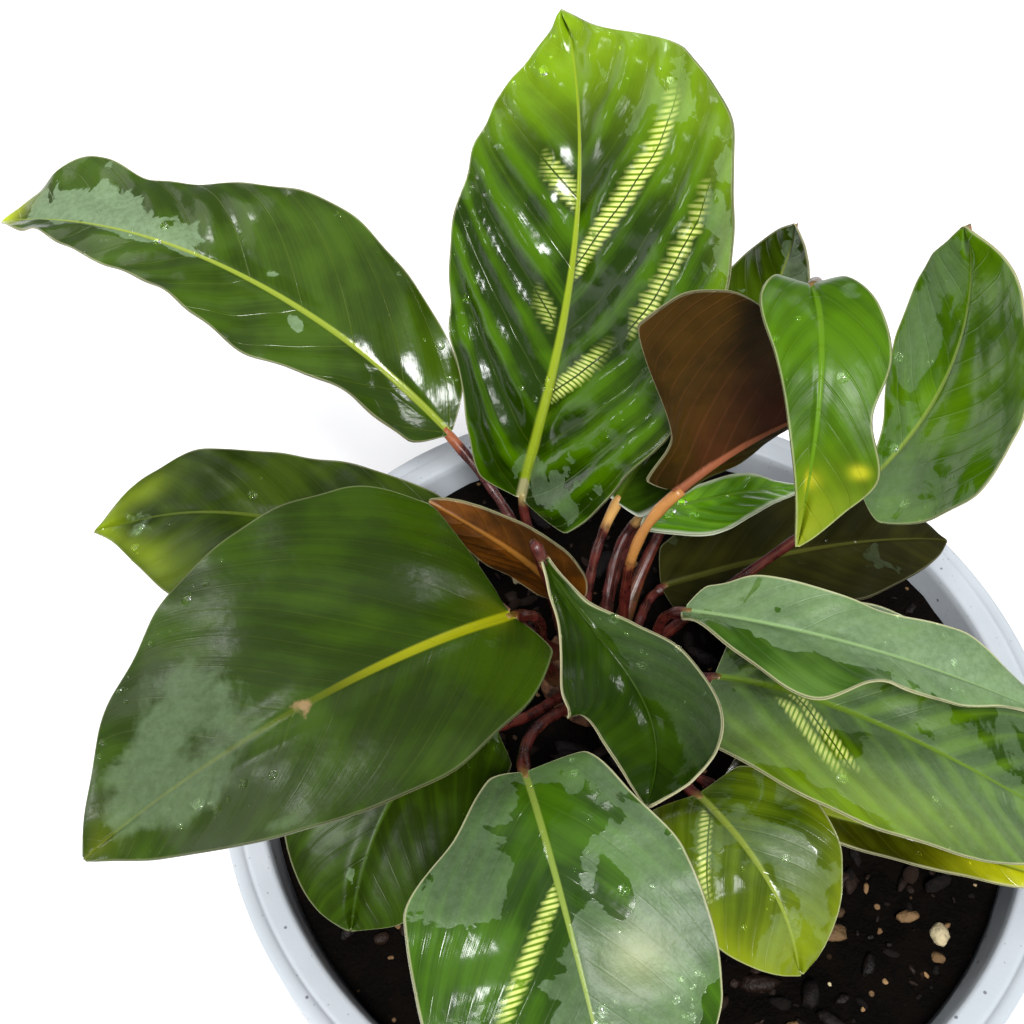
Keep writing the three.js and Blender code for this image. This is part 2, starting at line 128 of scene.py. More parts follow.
LOOKS = {
    "upper_left": dict(
        dark=(38, 58, 2), light=(56, 82, 8), pleat=0.26, veins=0.08, film_strength=0.75, soft=0.04,
        film=[(0.87, 0.3, 0.09, 0.55, 1.0), (0.75, 0.3, 0.09, 0.45, 1.0), (0.62, 0.02, 0.1, 0.3, 1.1),
              (0.44, 0.17, 0.1, 0.05, 0.7), (0.31, -0.28, 0.035, 0.18, 0.9), (0.13, -0.6, 0.03, 0.25, 0.4)],
        yellow=[(1.0, 0.0, 0.04, 1.5, 1.0)], tip=(176, 190, 30),
        joint=(150, 84, 48), joint_from=0.88,
        drops=[(0.09, 0.74, 0.03, 0.1, 8), (0.35, 0.93, 0.06, 0.03, 8), (0.9, 0.8, 0.03, 0.1, 4),
               (0.6, 0.0, 0.06, 0.2, 8)]),
    "top": dict(
        dark=(28, 50, 0), light=(62, 98, 0), rib=(138, 156, 36), rib_width=1.4, dry_rib=0.055,
        vein_share=0.13, pleat=0.95, pleat_shading=0.5, tip=(136, 172, 22), film_strength=0.4,
        film=[(0.78, 0.68, 0.07, 0.25, 1.0), (0.7, 0.95, 0.08, 0.12, 0.9), (0.6, 0.97, 0.06, 0.08, 0.8),
              (0.16, 0.6, 0.1, 0.4, 0.9), (0.06, 0.1, 0.06, 0.6, 0.9)],
        # The yellow-green coat over the blade's upper part is partly the young leaf's own colour and partly
        # painted light
        yellow=[(1.0, -0.1, 0.16, 1.6, 0.9), (0.8, 0.75, 0.12, 0.3, 0.3), (0.62, 1.0, 0.25, 0.1, 0.3)],
        streaks=[(1, 45.6, 0.05, 0.8, 3.0, 0.9), (1, 22.8, 0.07, 0.38, 2.8, 0.7),
                 (1, 22.8, 0.5, 0.9, 2.4, 0.8), (-1, 57.0, 0.04, 0.34, 2.6, 0.6),
                 (-1, 34.2, 0.1, 0.3, 2.4, 0.4)],
        joint=(150, 138, 84), joint_from=0.9,
        drops=[(0.28, -0.1, 0.02, 0.08, 5), (0.31, 0.62, 0.03, 0.08, 6), (0.88, 0.7, 0.05, 0.12, 9),
               (0.9, -0.4, 0.03, 0.15, 6), (0.55, -0.85, 0.12, 0.07, 12)]),
    "middle_left": dict(
        dark=(28, 42, 2), light=(48, 66, 6), tip=(120, 140, 22), margin_strength=0.2,
        rib=(70, 84, 20), wet_roughness=0.28, shine=0.2, pleat=0.16,
        film=[(0.86, -0.08, 0.1, 0.5, 1.0), (0.7, 0.0, 0.08, 0.2, 0.5)], soft=0.1,
        yellow=[(0.97, 0.0, 0.05, 1.2, 1.0), (0.87, 0.65, 0.06, 0.3, 0.5), (0.82, -0.72, 0.1, 0.3, 0.6)],
        drops=[(0.88, -0.5, 0.04, 0.3, 10), (0.7, 0.5, 0.1, 0.3, 4)]),
    "front_left": dict(
        dark=(32, 50, 0), light=(46, 70, 0), rib=(140, 142, 10), rib_width=1.05, rib_fades=0.4,
        pleat=0.08, veins=0.02, pleat_shading=0.15, margin_strength=0.15, soft=0.2, film_strength=0.3,
        wet_roughness=0.24,
        film=[(0.7, 0.42, 0.17, 0.42, 1.1), (0.84, 0.05, 0.13, 0.6, 1.2), (0.6, 0.1, 0.1, 0.2, 0.5),
              (0.76, -0.25, 0.12, 0.3, 0.8), (0.44, 0.14, 0.04, 0.1, 0.8),
              (0.57, -0.48, 0.04, 0.2, 1.0), (0.11, -0.3, 0.04, 0.3, 0.9), (0.14, -0.85, 0.05, 0.1, 0.8),
              (0.63, -0.87, 0.06, 0.12, 1.2), (0.4, -0.4, 0.2, 0.3, -1.0), (0.25, 0.3, 0.2, 0.4, -0.8)],
        yellow=[(0.0, 0.0, 0.07, 0.25, 0.5), (0.97, -0.1, 0.05, 0.6, 0.3)], tip=(120, 130, 10),
        scar=(0.505, -0.01), joint=(120, 100, 30),
        drops=[(0.6, 0.88, 0.05, 0.04, 8), (0.78, 0.89, 0.05, 0.05, 9), (0.68, -0.35, 0.05, 0.1, 8),
               (0.75, -0.5, 0.04, 0.08, 8)]),
    "low_left": dict(
        dark=(28, 44, 0), light=(46, 70, 2), margin_strength=0.25, rib=(50, 74, 8),
        wet_roughness=0.32, shine=0.16, pleat=0.12,
        film=[(0.05, -0.3, 0.1, 0.6, 1.0), (0.32, -0.15, 0.08, 0.25, 0.6), (0.83, 0.14, 0.06, 0.1, 0.7)],
        yellow=[(0.5, -0.9, 0.3, 0.15, 0.25)], tip=(80, 120, 10),
        drops=[(0.1, -0.4, 0.08, 0.3, 10), (0.4, 0.0, 0.2, 0.4, 4)]),
    "front": dict(
        dark=(34, 60, 8), light=(58, 94, 10), dry=0.95, rib=(124, 144, 58), rib_width=0.7,
        film_strength=0.42, pleat=0.16, veins=0.03, margin_strength=0.7,
        film=[(0.55, -0.6, 0.2, 0.3, 1.0), (0.75, -0.4, 0.2, 0.4, 1.0), (0.4, -0.75, 0.1, 0.2, 0.5),
              (0.2, -0.1, 0.07, 0.42, -1.7), (0.33, 0.0, 0.08, 0.18, -1.5), (0.42, -0.42, 0.08, 0.12, -1.5),
              (0.42, 0.2, 0.12, 0.2, -1.5), (0.52, 0.85, 0.1, 0.28, -1.6), (0.56, 0.5, 0.08, 0.16, -0.7),
              (0.8, -0.98, 0.16, 0.14, -1.5)],
        yellow=[(0.58, -0.42, 0.07, 0.22, 0.5)], tip=(160, 166, 118),
        streaks=[(1, 20.0, 0.04, 0.62, 1.7, 0.65)],
        drops=[(0.71, -0.74, 0.04, 0.1, 16), (0.71, -0.1, 0.02, 0.08, 8), (0.3, -0.5, 0.2, 0.4, 12)]),
    "folded": dict(
        dark=(26, 46, 2), light=(42, 66, 4), dry=0.3, rib=(44, 66, 8), margin_strength=0.7,
        film=[(0.5, -0.7, 0.5, 0.62, 1.6), (0.5, 0.6, 0.6, 0.5, -1.5)], film_strength=0.08, soft=0.08,
        pleat=0.2, veins=0.02, joint=(52, 44, 38),
        drops=[(0.5, -0.5, 0.2, 0.3, 14), (0.4, 0.5, 0.2, 0.3, 4)]),
    "right_wavy": dict(
        dark=(44, 74, 14), light=(72, 104, 36), dry=1.1, rib=(120, 148, 96), rib_width=0.6,
        film_strength=0.8, pleat=0.2, veins=0.04, margin_strength=0.7, wet_roughness=0.2,
        film=[(0.3, 0.8, 0.2, 0.3, -2.2), (0.8, -0.2, 0.3, 0.6, 1.0)],
        drops=[(0.6, -0.2, 0.15, 0.4, 8), (0.7, 0.4, 0.1, 0.2, 5)]),
    "right_broad": dict(
        dark=(36, 62, 2), light=(72, 104, 8), dry=0.98, soft=0.05, rib=(88, 116, 26),
        film_strength=0.36, pleat=0.25, veins=0.04, margin_strength=0.7, pleat_shading=0.5,
        film=[(0.2, 0.6, 0.2, 0.4, 0.4), (0.7, 0.5, 0.25, 0.5, 0.9), (0.36, 0.97, 0.16, 0.12, -1.8),
              # The spot at (0.35, -0.5) thins the grey film on the v < 0 half: darker green there as painted
              # shadow of the right_wavy leaf above
              (0.35, -0.5, 0.3, 0.4, -0.5), (0.35, 0.4, 0.04, 0.08, -1.6)],
        yellow=[(0.45, 0.85, 0.35, 0.4, 0.4)], tip=(120, 146, 16),
        streaks=[(1, 14.2, 0.02, 0.6, 1.8, 0.7), (1, 10.0, 0.2, 0.7, 1.5, 0.7)],
        drops=[(0.5, 0.3, 0.2, 0.4, 8)]),
    "front_right_yellow": dict(
        dark=(50, 70, 6), light=(86, 108, 16), dry=0.6, tip=(120, 134, 10), film_strength=0.38,
        pleat=0.22, rib=(128, 144, 56), soft=0.06,
        film=[(0.29, 0.3, 0.1, 0.16, 0.7), (0.5, -0.3, 0.25, 0.3, 0.5)],
        yellow=[(1.0, 0.0, 0.3, 1.5, 0.8), (0.5, 0.95, 0.5, 0.25, 0.8), (0.5, -0.95, 0.5, 0.15, 0.3)],
        streaks=[(1, 3.7, 0.15, 0.75, 1.5, 0.8)],
        drops=[(0.5, 0.0, 0.2, 0.5, 6)]),
    "low_right": dict(
        dark=(36, 40, 0), light=(66, 74, 8), tip=(180, 184, 20), dry=0.3, margin_strength=0.7,
        yellow=[(0.85, 0.5, 0.18, 1.2, 1.0)], drops=[(0.5, 0.5, 0.2, 0.4, 4)]),
    "upright_purple": dict(
        under=(60, 40, 2), under_dark=(36, 24, 0), under_rib=(150, 88, 60),
        flush=(84, 34, 22), flushed=[(0.3, 0.1, 0.25, 0.25, 0.35), (0.8, 0.1, 0.25, 0.35, 0.5)],
        joint=(176, 122, 62), joint_from=0.55, shine=0.12),
    "drooping": dict(
        dark=(48, 80, 0), light=(68, 106, 2), tip=(156, 158, 28), rib=(84, 122, 16),
        rib_width=0.6, pleat=0.1, veins=0.1, wet_roughness=0.3, shine=0.25, pleat_shading=0.15,
        film=[(0.12, -0.7, 0.09, 0.35, 0.8), (0.3, -0.95, 0.1, 0.1, 0.6)], film_strength=0.25, soft=0.1,
        yellow=[(1.0, 0.0, 0.22, 1.4, 0.6), (0.76, 0.1, 0.03, 0.22, 1.3), (0.71, -0.7, 0.022, 0.14, 1.3)]),
    "far_right": dict(
        dark=(62, 100, 4), light=(88, 130, 6), dry=0.45, rib=(128, 152, 62), film_strength=0.46,
        pleat=0.12, pleat_shading=0.12, rib_width=0.65, margin_strength=0.5, soft=0.06,
        film=[(0.6, -0.6, 0.22, 0.45, 1.0), (0.1, 0.5, 0.16, 0.6, 1.3), (0.84, -0.6, 0.1, 0.4, 1.0),
              (0.5, 0.9, 0.1, 0.12, 0.5), (0.65, 0.5, 0.25, 0.5, -1.6)],
        drops=[(0.25, 0.6, 0.1, 0.25, 12), (0.55, -0.5, 0.15, 0.3, 8)]),
    "inner_brown": dict(
        dark=(34, 48, 4), light=(52, 70, 10), under=(104, 58, 6), under_dark=(58, 32, 2),
        shine=0.3, under_rib=(140, 92, 30), joint=(150, 100, 50)),
    "inner_narrow": dict(
        dark=(34, 58, 4), light=(54, 82, 10), rib=(70, 96, 14), margin=(210, 216, 196),
        margin_width=1.3, margin_strength=0.9, joint=(206, 160, 92), joint_from=0.78,
        drops=[(0.4, -0.5, 0.2, 0.3, 12)]),
    "inner_bright": dict(
        dark=(70, 118, 6), light=(104, 154, 18), rib=(88, 130, 24), margin=(196, 202, 176),
        margin_width=0.9, margin_strength=0.8, joint=(206, 164, 96), joint_from=0.8, pleat=0.4,
        drops=[(0.25, 0.4, 0.12, 0.3, 20)]),
    "back": dict(
        dark=(38, 56, 0), light=(60, 84, 8), dry=0.2, film=[(0.85, 0.3, 0.15, 0.8, 1.0)]),
    "low_back": dict(
        dark=(26, 26, 2), light=(40, 40, 6), rib=(64, 66, 20), dry=0.2, wet_roughness=0.45,
        shine=0.12, film_strength=0.15, margin_strength=0.15, pleat=0.2),
}


LOOK_COLOURS = ("dark", "light", "tip", "rib", "margin", "under", "under_dark", "under_rib", "flush", "joint")


def look_of(name):
    look = {**USUAL_LOOK, **LOOKS[name]}
    return {**look, **{key: tint(*look[key]) for key in LOOK_COLOURS}}


def leaf(name, sprout, rib, left, right, lift=(15, 10, 5), bank=(0, 0, 0), wave=None, lobe=2,
         stalk=None):
    """One leaf of the layout, in millimetres and degrees. A plain lift serves both sides."""
    lift = lift if isinstance(lift, dict) else dict(left=lift, right=lift)
    return dict(name=name, sprout=sprout, rib=rib, left=left, right=right, lift=lift, bank=bank,
                wave=wave or {}, lobe=lobe, stalk=stalk, look=look_of(name))


LEAVES = [
    leaf("upper_left", (OUTER_RING, 130),
         [(-35, 49, 22), (-56, 62, 43), (-92, 84, 48), (-130, 100, 30)],
         [8.5, 9.5, 13.7, 10.8, 8, 4.6, 2.5], [9, 17.5, 22, 19, 14.5, 17.3, 11],
         dict(left=(5, 0, 0), right=(25, 10, 5)),
         wave=dict(left=(1.5, 2.5, 0), right=(1.5, 2.2, 0.3))),
    leaf("top", (OUTER_RING, 107),
         [(-21, 38, 16), (-17, 43, 39), (-7, 57, 66), (-14, 86, 86)],
         [9, 15, 21.5, 23, 20.5, 15.5, 6.5], [14, 22, 29.5, 32, 30.3, 21.5, 5.5],
         (20, 12, 8), lobe=4),
    leaf("middle_left", (OUTER_RING, 163),
         [(-30, 20, 10), (-55, 29, 22), (-79, 33, 26), (-100, 31, 14)],
         [8, 16, 20, 21, 18, 10, 3.2], [8, 14.5, 14, 13.3, 13.3, 9.8, 5],
         dict(left=(12, 5, 0), right=(15, 8, 3))),
    leaf("front_left", (OUTER_RING, 197),
         [(-23, 0, 36), (-38, -12, 48), (-60, -26, 50), (-82, -39, 36)],
         [9.5, 17.8, 20.4, 18.4, 13, 7.5, 3], [24, 32, 33, 30.5, 23, 14.5, 6.5],
         (8, 3, 0), lobe=7),
    leaf("low_left", (OUTER_RING, 230),
         [(-26, -8, 14), (-37, -12, 22), (-46, -26, 20), (-48, -40, 8)],
         [9, 12.2, 13.1, 13.4, 12.8, 10.8, 7.5], [7, 14, 17, 17, 14, 9.6, 5.5],
         (10, 5, 0), lobe=1),
    leaf("front", (OUTER_RING, 254),
         [(-21, -22, 26), (-18, -35, 33), (-14, -50, 30), (-8, -70, 14)],
         [10, 14.2, 18.6, 19.5, 18.5, 14, 7.5], [6, 13, 22.5, 23, 22, 17, 9],
         (15, 8, 0), lobe=3),
    leaf("folded", (INNER_RING, 230),
         [(-18, 8, 40), (-12, 1, 28), (6, -6, 20), (-3, -28, 28)],
         [1.5, 2, 6.5, 10.7, 12.5, 11, 7.5], [3, 10, 16, 17, 13, 8, 4],
         dict(left=(60, 50, 40), right=(45, 30, 25)), lobe=0),
    leaf("right_wavy", (OUTER_RING, 350),
         [(6, 7, 26), (21, -3, 38), (40, -6, 34), (63, -10, 22)],
         [5.5, 8, 7.6, 7.2, 8, 5, 2.5], [4, 8.5, 13.2, 6.4, 5, 2.2, 1.2],
         (20, 10, 0),
         wave=dict(left=(1.5, 2.2, 0.6), right=(1.5, 2.2, 0.1))),
    leaf("right_broad", (OUTER_RING, 328),
         [(12, 1, 14), (26, -6, 24), (46, -16, 22), (70, -26, 10)],
         [12, 18, 20, 19, 16, 11, 6], [12, 17, 19, 18, 15, 10, 6],
         (12, 8, 0), lobe=3),
    leaf("front_right_yellow", (OUTER_RING, 283),
         [(8, -18, 8), (13, -28, 16), (20, -37, 14), (22, -45, 3)],
         14, [9, 14, 16, 15, 12, 8, 4],
         (12, 8, 0)),
    leaf("low_right", (OUTER_RING, 305),
         [(13, -14, 2), (30, -20, 8), (48, -28, 10), (70, -33, 5)],
         14, 5, (10, 5, 0), lobe=1),
    leaf("upright_purple", (INNER_RING, 30),
         [(4, 22, 39), (10, 25, 43), (16, 28, 46), (26, 31, 49)],
         [3, 6, 8, 8, 7, 5, 3], [6, 9.5, 32, 32.5, 30, 24.5, 13],
         (20, 20, 20), bank=(88, 88, 88), lobe=6),
    leaf("drooping", (OUTER_RING, 57),
         [(21, 34, 74), (21, 24, 80), (20, 10, 74), (19, 3, 52)],
         [5, 8.3, 9.4, 7.4, 9.5, 5.5, 2.5], [5, 9.2, 6.7, 4.2, 2.6, 1.4, 0.8],
         stalk=[(8, 50, 8), (34, 58, 62)]),
    leaf("far_right", (OUTER_RING, 12),
         [(36, 25, 36), (44, 27, 48), (50, 32, 64), (43, 38, 82)],
         [1.5, 4.5, 9.2, 11.7, 10.8, 7.5, 3], [9, 16, 20, 20, 17, 13.5, 6.5],
         lobe=3),
    leaf("inner_brown", (INNER_RING, 165),
         [(-13, 17, 12), (-16, 17, 22), (-24, 19, 29), (-37, 24, 34)],
         7, 10, bank=(-80, -80, -80), lobe=1),
    leaf("inner_narrow", (INNER_RING, 120),
         [(-4, 32, 23), (1, 37, 31), (7, 43, 39), (8, 52, 51)],
         [3.3, 4.8, 5.5, 5.3, 4.3, 2.8, 1.4], 11),
    leaf("inner_bright", (INNER_RING, 75),
         [(2, 33, 18), (9, 31, 24), (18, 33, 25), (31, 37, 21)],
         [1.5, 2.2, 4.1, 4.8, 4.2, 2.2, 1.2], [5, 8, 10.3, 7.4, 4.5, 2.6, 1.3]),
    leaf("back", (OUTER_RING, 80),
         [(12, 55, 16), (20, 62, 30), (27, 64, 44), (26, 64, 60)],
         11, 11),
    leaf("low_back", (OUTER_RING, 35),
         [(6, 27, 2), (24, 30, 8), (44, 34, 10), (62, 36, 5)],
         14, 14, (10, 5, 0)),
]


# Shape of a leaf


def smoothstep(low, high, value):
    t = np.clip((value - low) / (high - low), 0, 1)
    return t * t * (3 - 2 * t)


def unit(vectors):
    return vectors / np.linalg.norm(vectors, axis=-1, keepdims=True)


def bezier(bends, t):
    """Points of a cubic curve."""
    t = t[:, None]
    return ((1 - t) ** 3 * bends[0] + 3 * (1 - t) ** 2 * t * bends[1]
            + 3 * (1 - t) * t ** 2 * bends[2] + t ** 3 * bends[3])


def bezier_slope(bends, t):
    t = t[:, None]
    return 3 * ((1 - t) ** 2 * (bends[1] - bends[0]) + 2 * (1 - t) * t * (bends[2] - bends[1])
                + t ** 2 * (bends[3] - bends[2]))


def half_width(widths, u):
    """Smooth curve through the half-widths, one value for a place u along the blade."""
    inner = PLAIN_OUTLINE * widths if np.isscalar(widths) else np.array(widths, float)
    values = np.concatenate([[BLADE_END_HALF_WIDTH], inner, [BLADE_TIP_HALF_WIDTH]])
    slopes = np.diff(values) / np.diff(STATIONS)
    product = slopes[:-1] * slopes[1:]
    rising_together = product > 0
    total = np.where(rising_together, slopes[:-1] + slopes[1:], 1)
    inner_tangents = np.where(rising_together, 2 * product / total, 0)
    tangents = np.concatenate([slopes[:1], inner_tangents, slopes[-1:]])
    i = np.clip(np.searchsorted(STATIONS, u, side="right") - 1, 0, len(STATIONS) - 2)
    span = STATIONS[i + 1] - STATIONS[i]
    t = (u - STATIONS[i]) / span
    stay = (1 + 2 * t) * (1 - t) ** 2
    go = t * t * (3 - 2 * t)
    leave = t * (1 - t) ** 2 * span
    arrive = t * t * (t - 1) * span
    return stay * values[i] + go * values[i + 1] + leave * tangents[i] + arrive * tangents[i + 1]


def along(stops, u):
    """A value that runs smoothly from the base through the middle to the tip."""
    base, middle, tip = stops
    return base + (middle - base) * smoothstep(0, 0.5, u) + (tip - middle) * smoothstep(0.5, 1, u)


def above_table(points):
    """Leaves are laid out from the rim, and the pot stands on the table."""
    return np.array(points, float) + (0, 0, POT_HEIGHT)


def midrib(leaf):
    """The midrib with a frame that doesn't twist: forward, across (to the right) and up."""
    bends = above_table(leaf["rib"])
    fine = np.linspace(0, 1, 20 * RIB_SAMPLES + 1)
    steps = np.linalg.norm(np.diff(bezier(bends, fine), axis=0), axis=1)
    run = np.concatenate([[0], np.cumsum(steps)])
    places = np.interp(np.linspace(0, run[-1], RIB_SAMPLES + 1), run, fine)
    forward = unit(bezier_slope(bends, places))
    up = np.zeros_like(forward)
    carried = np.array([0.0, 0.0, 1.0])
    for i, ahead in enumerate(forward):
        carried = unit(carried - ahead * (carried @ ahead))
        up[i] = carried
    across = np.cross(forward, up)
    bank = np.radians(along(leaf["bank"], np.linspace(0, 1, RIB_SAMPLES + 1)))[:, None]
    return dict(at=bezier(bends, places), forward=forward, length=run[-1],
                across=across * np.cos(bank) + up * np.sin(bank),
                up=up * np.cos(bank) - across * np.sin(bank))


def rib_value(rib, key, u):
    grid = np.linspace(0, 1, RIB_SAMPLES + 1)
    return np.stack([np.interp(u, grid, rib[key][:, k]) for k in range(3)], axis=-1)


def side_value(leaf, key, u, v, pick):
    """pick(setting, u) with the left half's setting where v is negative."""
    return np.where(v < 0, pick(leaf[key]["left"], u), pick(leaf[key]["right"], u))


def width_at(leaf, u, v):
    return np.where(v < 0, half_width(leaf["left"], u), half_width(leaf["right"], u))


def blade_surface(leaf, rib, u, v):
    """Points of the blade's middle surface; v runs from -1 at the left margin to 1 at the right."""
    out = np.abs(v)
    width = width_at(leaf, u, v)
    lift = np.radians(side_value(leaf, "lift", u, v, along))
    wave = np.zeros_like(u)
    if leaf["wave"]:
        wave = side_value(leaf, "wave", u, v, lambda w, at: w[0] * np.sin(2 * np.pi * (w[1] * at + w[2])))
    wave = wave * np.minimum(width / WAVE_FULL_WIDTH, 1) * out ** 2
    near_base = np.maximum(1 - u / LOBE_REACH, 0) ** 2 * np.minimum(u / LOBE_START, 1)
    back = leaf["lobe"] * out ** 1.5 * near_base
    return (rib_value(rib, "at", u)
            + rib_value(rib, "across", u) * (v * width * np.cos(lift))[..., None]
            + rib_value(rib, "up", u) * (out * width * np.sin(lift) + wave)[..., None]
            - rib_value(rib, "forward", u) * back[..., None])


def blade_upward(leaf, rib, u, v):
    """The direction that the blade's upper side faces."""
    along_u = (blade_surface(leaf, rib, np.minimum(u + NUDGE, 1), v)
               - blade_surface(leaf, rib, np.maximum(u - NUDGE, 0), v))
    along_v = (blade_surface(leaf, rib, u, np.minimum(v + NUDGE, 1))
               - blade_surface(leaf, rib, u, np.maximum(v - NUDGE, -1)))
    return unit(np.cross(along_v, along_u))


# Materials


class Value:
    """A number or colour that a material's nodes work out. Sums and products of it make further nodes."""

    def __init__(self, paint, socket):
        self.paint = paint
        self.socket = socket

    def __add__(self, other):
        return self.paint.math("ADD", self, other)

    def __sub__(self, other):
        return self.paint.math("SUBTRACT", self, other)

    def __mul__(self, other):
        return self.paint.math("MULTIPLY", self, other)

    def __truediv__(self, other):
        return self.paint.math("DIVIDE", self, other)


class Paint:
    """A material that starts with one colour, gets coats of others, and is finished with gloss and relief."""

    def __init__(self, name, colour):
        self.material = bpy.data.materials.new(name)
        self.material.use_nodes = True
        self.tree = self.material.node_tree
        self.colour = colour
        where = self.node("TexCoord", {}, "Object")
        self.place = self.node("VectorMath", {0: where, "Scale": 1 / MM}, operation="SCALE")

    def put(self, socket, value):
        if isinstance(value, Value):
            self.tree.links.new(value.socket, socket)
        else:
            socket.default_value = value

    def node(self, kind, inputs, output=0, **settings):
        """A new node with its settings and inputs, and the value that comes out of it."""
        made = self.tree.nodes.new("ShaderNode" + kind)
        for key, value in settings.items():
            setattr(made, key, value)
        for key, value in inputs.items():
            self.put(made.inputs[key], value)
        return Value(self, made.outputs[output])

    def math(self, operation, a, b=0.0):
        return self.node("Math", {0: a, 1: b}, operation=operation)

    def length(self, vector):
        return self.node("VectorMath", {0: vector}, "Value", operation="LENGTH")

    def join(self, x, y, z=0.0):
        return self.node("CombineXYZ", {0: x, 1: y, 2: z})

    def carried(self, name):
        """The three numbers that each point of the mesh carries under a name."""
        read = self.node("Attribute", {}, "Vector", attribute_name=name)
        return [self.node("SeparateXYZ", {0: read}, axis) for axis in range(3)]

    def ease(self, value, low, high, start=0.0, end=1.0):
        """Runs smoothly from start to end as value goes from low to high."""
        inputs = {"Value": value, "From Min": low, "From Max": high, "To Min": start, "To Max": end}
        return self.node("MapRange", inputs, interpolation_type="SMOOTHSTEP")

    def noise(self, size, detail=2.0, roughness=0.5, where=None, distortion=0.0):
        """Cloudy values round 0.5, with features of about that size in millimetres."""
        inputs = {"Vector": where or self.place, "Scale": 1 / size, "Detail": detail,
                  "Roughness": roughness, "Distortion": distortion}
        return self.node("TexNoise", inputs)

    def specks(self, spacing, core, edge, shown_from, shown_to):
        """Scattered round spots, some left out by chance; core and edge are shares of the spacing in mm."""
        inputs = {"Vector": self.place, "Scale": 1 / spacing}
        distance = self.node("TexVoronoi", inputs, "Distance")
        chance = self.node("SeparateColor", {0: self.node("TexVoronoi", inputs, "Color")})
        return self.ease(distance, core, edge, 1, 0) * self.ease(chance, shown_from, shown_to)

    def mixed(self, amount, a, b):
        return self.node("Mix", {0: amount, 6: a, 7: b}, 2, data_type="RGBA")

    def coat(self, colour, amount):
        """Lays a colour over what is there; an amount of 1 or more hides it."""
        self.colour = self.mixed(amount, self.colour, colour)

    def finish(self, roughness, height=None, **inputs):
        """Sets the gloss and, by a height in millimetres, the fine relief."""
        if height is not None:
            inputs["Normal"] = self.node("Bump", {"Distance": MM, "Height": height})
        shader = self.tree.nodes["Principled BSDF"]
        for key, value in {"Base Color": self.colour, "Roughness": roughness, **inputs}.items():
            self.put(shader.inputs[key.replace("_", " ")], value)
        return self.material


RUNG_SPACING = 0.75
DRY_ROUGHNESS = 0.4
LEAF_IOR = 1.37
UNDERSIDE_IOR = 1.4
FILM_GREY_AND_SHEEN = tint(126, 150, 114)
BAR_CREAM = tint(232, 236, 140)
BAR_GREEN = tint(118, 156, 14)
SCAR_BROWN = tint(146, 118, 84)
SCAR_CORE = 0.032
SCAR_EDGE = 0.046
BARE_RIB = tint(160, 156, 110)


def vein_grain(paint, vein_mm, width_mm):
    """Fine streaks that run along the side veins."""
    return paint.noise(1.0, 3, 0.6, paint.join(vein_mm * 1.4, width_mm * 0.09))


def upper_material(leaf, rib):
    look = leaf["look"]
    paint = Paint("upper_" + leaf["name"], look["dark"])
    length_mm, width_mm, vein_mm = paint.carried("place")
    u, v, edge_mm = paint.carried("spot")
    streak, film, yellow = paint.carried("marks")
    gap = vein_gap(leaf, rib)

    # Green tissue, with painted light on the pleat crests between the side veins and painted shade in the
    # vein valleys
    grain = vein_grain(paint, vein_mm, width_mm)
    from_vein = paint.math("PINGPONG", vein_mm, gap / 2)
    vein_line = paint.ease(from_vein, 0.05, 0.3, 1, 0)
    painted_pleat_shade = paint.ease(from_vein, gap * 0.12, gap * 0.5, -look["pleat_shading"], look["pleat_shading"])
    mottle = paint.ease(paint.noise(14, 3), 0.34, 0.68)
    paint.coat(look["light"], mottle + painted_pleat_shade + paint.ease(grain, 0.3, 0.75, 0.1, -0.25))
    paint.coat(look["rib"], vein_line * look["veins"])

    # Ladders of pale bars
    rung = paint.ease(paint.math("PINGPONG", length_mm, RUNG_SPACING / 2), 0.08, 0.24)
    broken = paint.ease(paint.noise(2.2, 2), 0.22, 0.42)
    beside = streak * paint.ease(from_vein, 0.12, 0.35)
    paint.coat(BAR_GREEN, beside * 0.7)
    paint.coat(BAR_CREAM, rung * broken * beside * 0.95)

    # Dried water film; its grey coat is partly residue and partly painted sheen of the dry, rougher surface
    patches = paint.noise(9, 4, 0.55, distortion=0.6)
    dry_from = 0.72 - 0.34 * look["dry"]
    dry = paint.ease(patches + film * 0.3, dry_from, dry_from + look["soft"])
    residue_and_sheen = paint.ease(paint.noise(1.3, 4, 0.75), 0.3, 0.7, 0.62, 1.0)
    hides = paint.ease(film, 0.0, 1.0, look["film_strength"] * 0.65, look["film_strength"])
    paint.coat(FILM_GREY_AND_SHEEN, dry * residue_and_sheen * hides)

    # Yellowing, midrib, margin and scar
    paint.coat(look["tip"], yellow * paint.ease(paint.noise(6, 3), 0.25, 0.6, 0.7, 1.0))
    from_rib = paint.math("ABSOLUTE", width_mm) / paint.ease(u, 0.0, 1.0, look["rib_width"], 0.2)
    fading = paint.ease(u, look["rib_fades"] * 0.6, look["rib_fades"] * 1.3, 0.95, 0.12)
    bare = paint.ease(u, look["dry_rib"] - 0.004, look["dry_rib"] + 0.004)
    paint.coat(paint.mixed(bare, BARE_RIB, look["rib"]), paint.ease(from_rib, 0.55, 1.1, 1.0, 0.0) * fading)
    margin = paint.ease(edge_mm, 0.1, 0.1 + look["margin_width"], look["margin_strength"], 0.0)
    paint.coat(look["margin"], margin)
    if look["scar"]:
        scar_u, scar_v = look["scar"]
        ragged = paint.length(paint.join(u - scar_u, (v - scar_v) * 0.3)) + paint.noise(1.8, 4) * 0.05
        paint.coat(SCAR_BROWN, paint.ease(ragged, SCAR_CORE, SCAR_EDGE, 0.8, 0.0))

    fine = paint.noise(0.6, 2)
    roughness = paint.ease(dry, 0, 1, look["wet_roughness"], DRY_ROUGHNESS) + fine * 0.05
    height = grain * 0.025 + paint.noise(3.5, 2) * 0.12 - vein_line * (look["veins"] * 0.6)
    height = height + dry * fine * 0.05 - dry * 0.05
    return paint.finish(roughness, height, IOR=LEAF_IOR, Specular_IOR_Level=look["shine"])


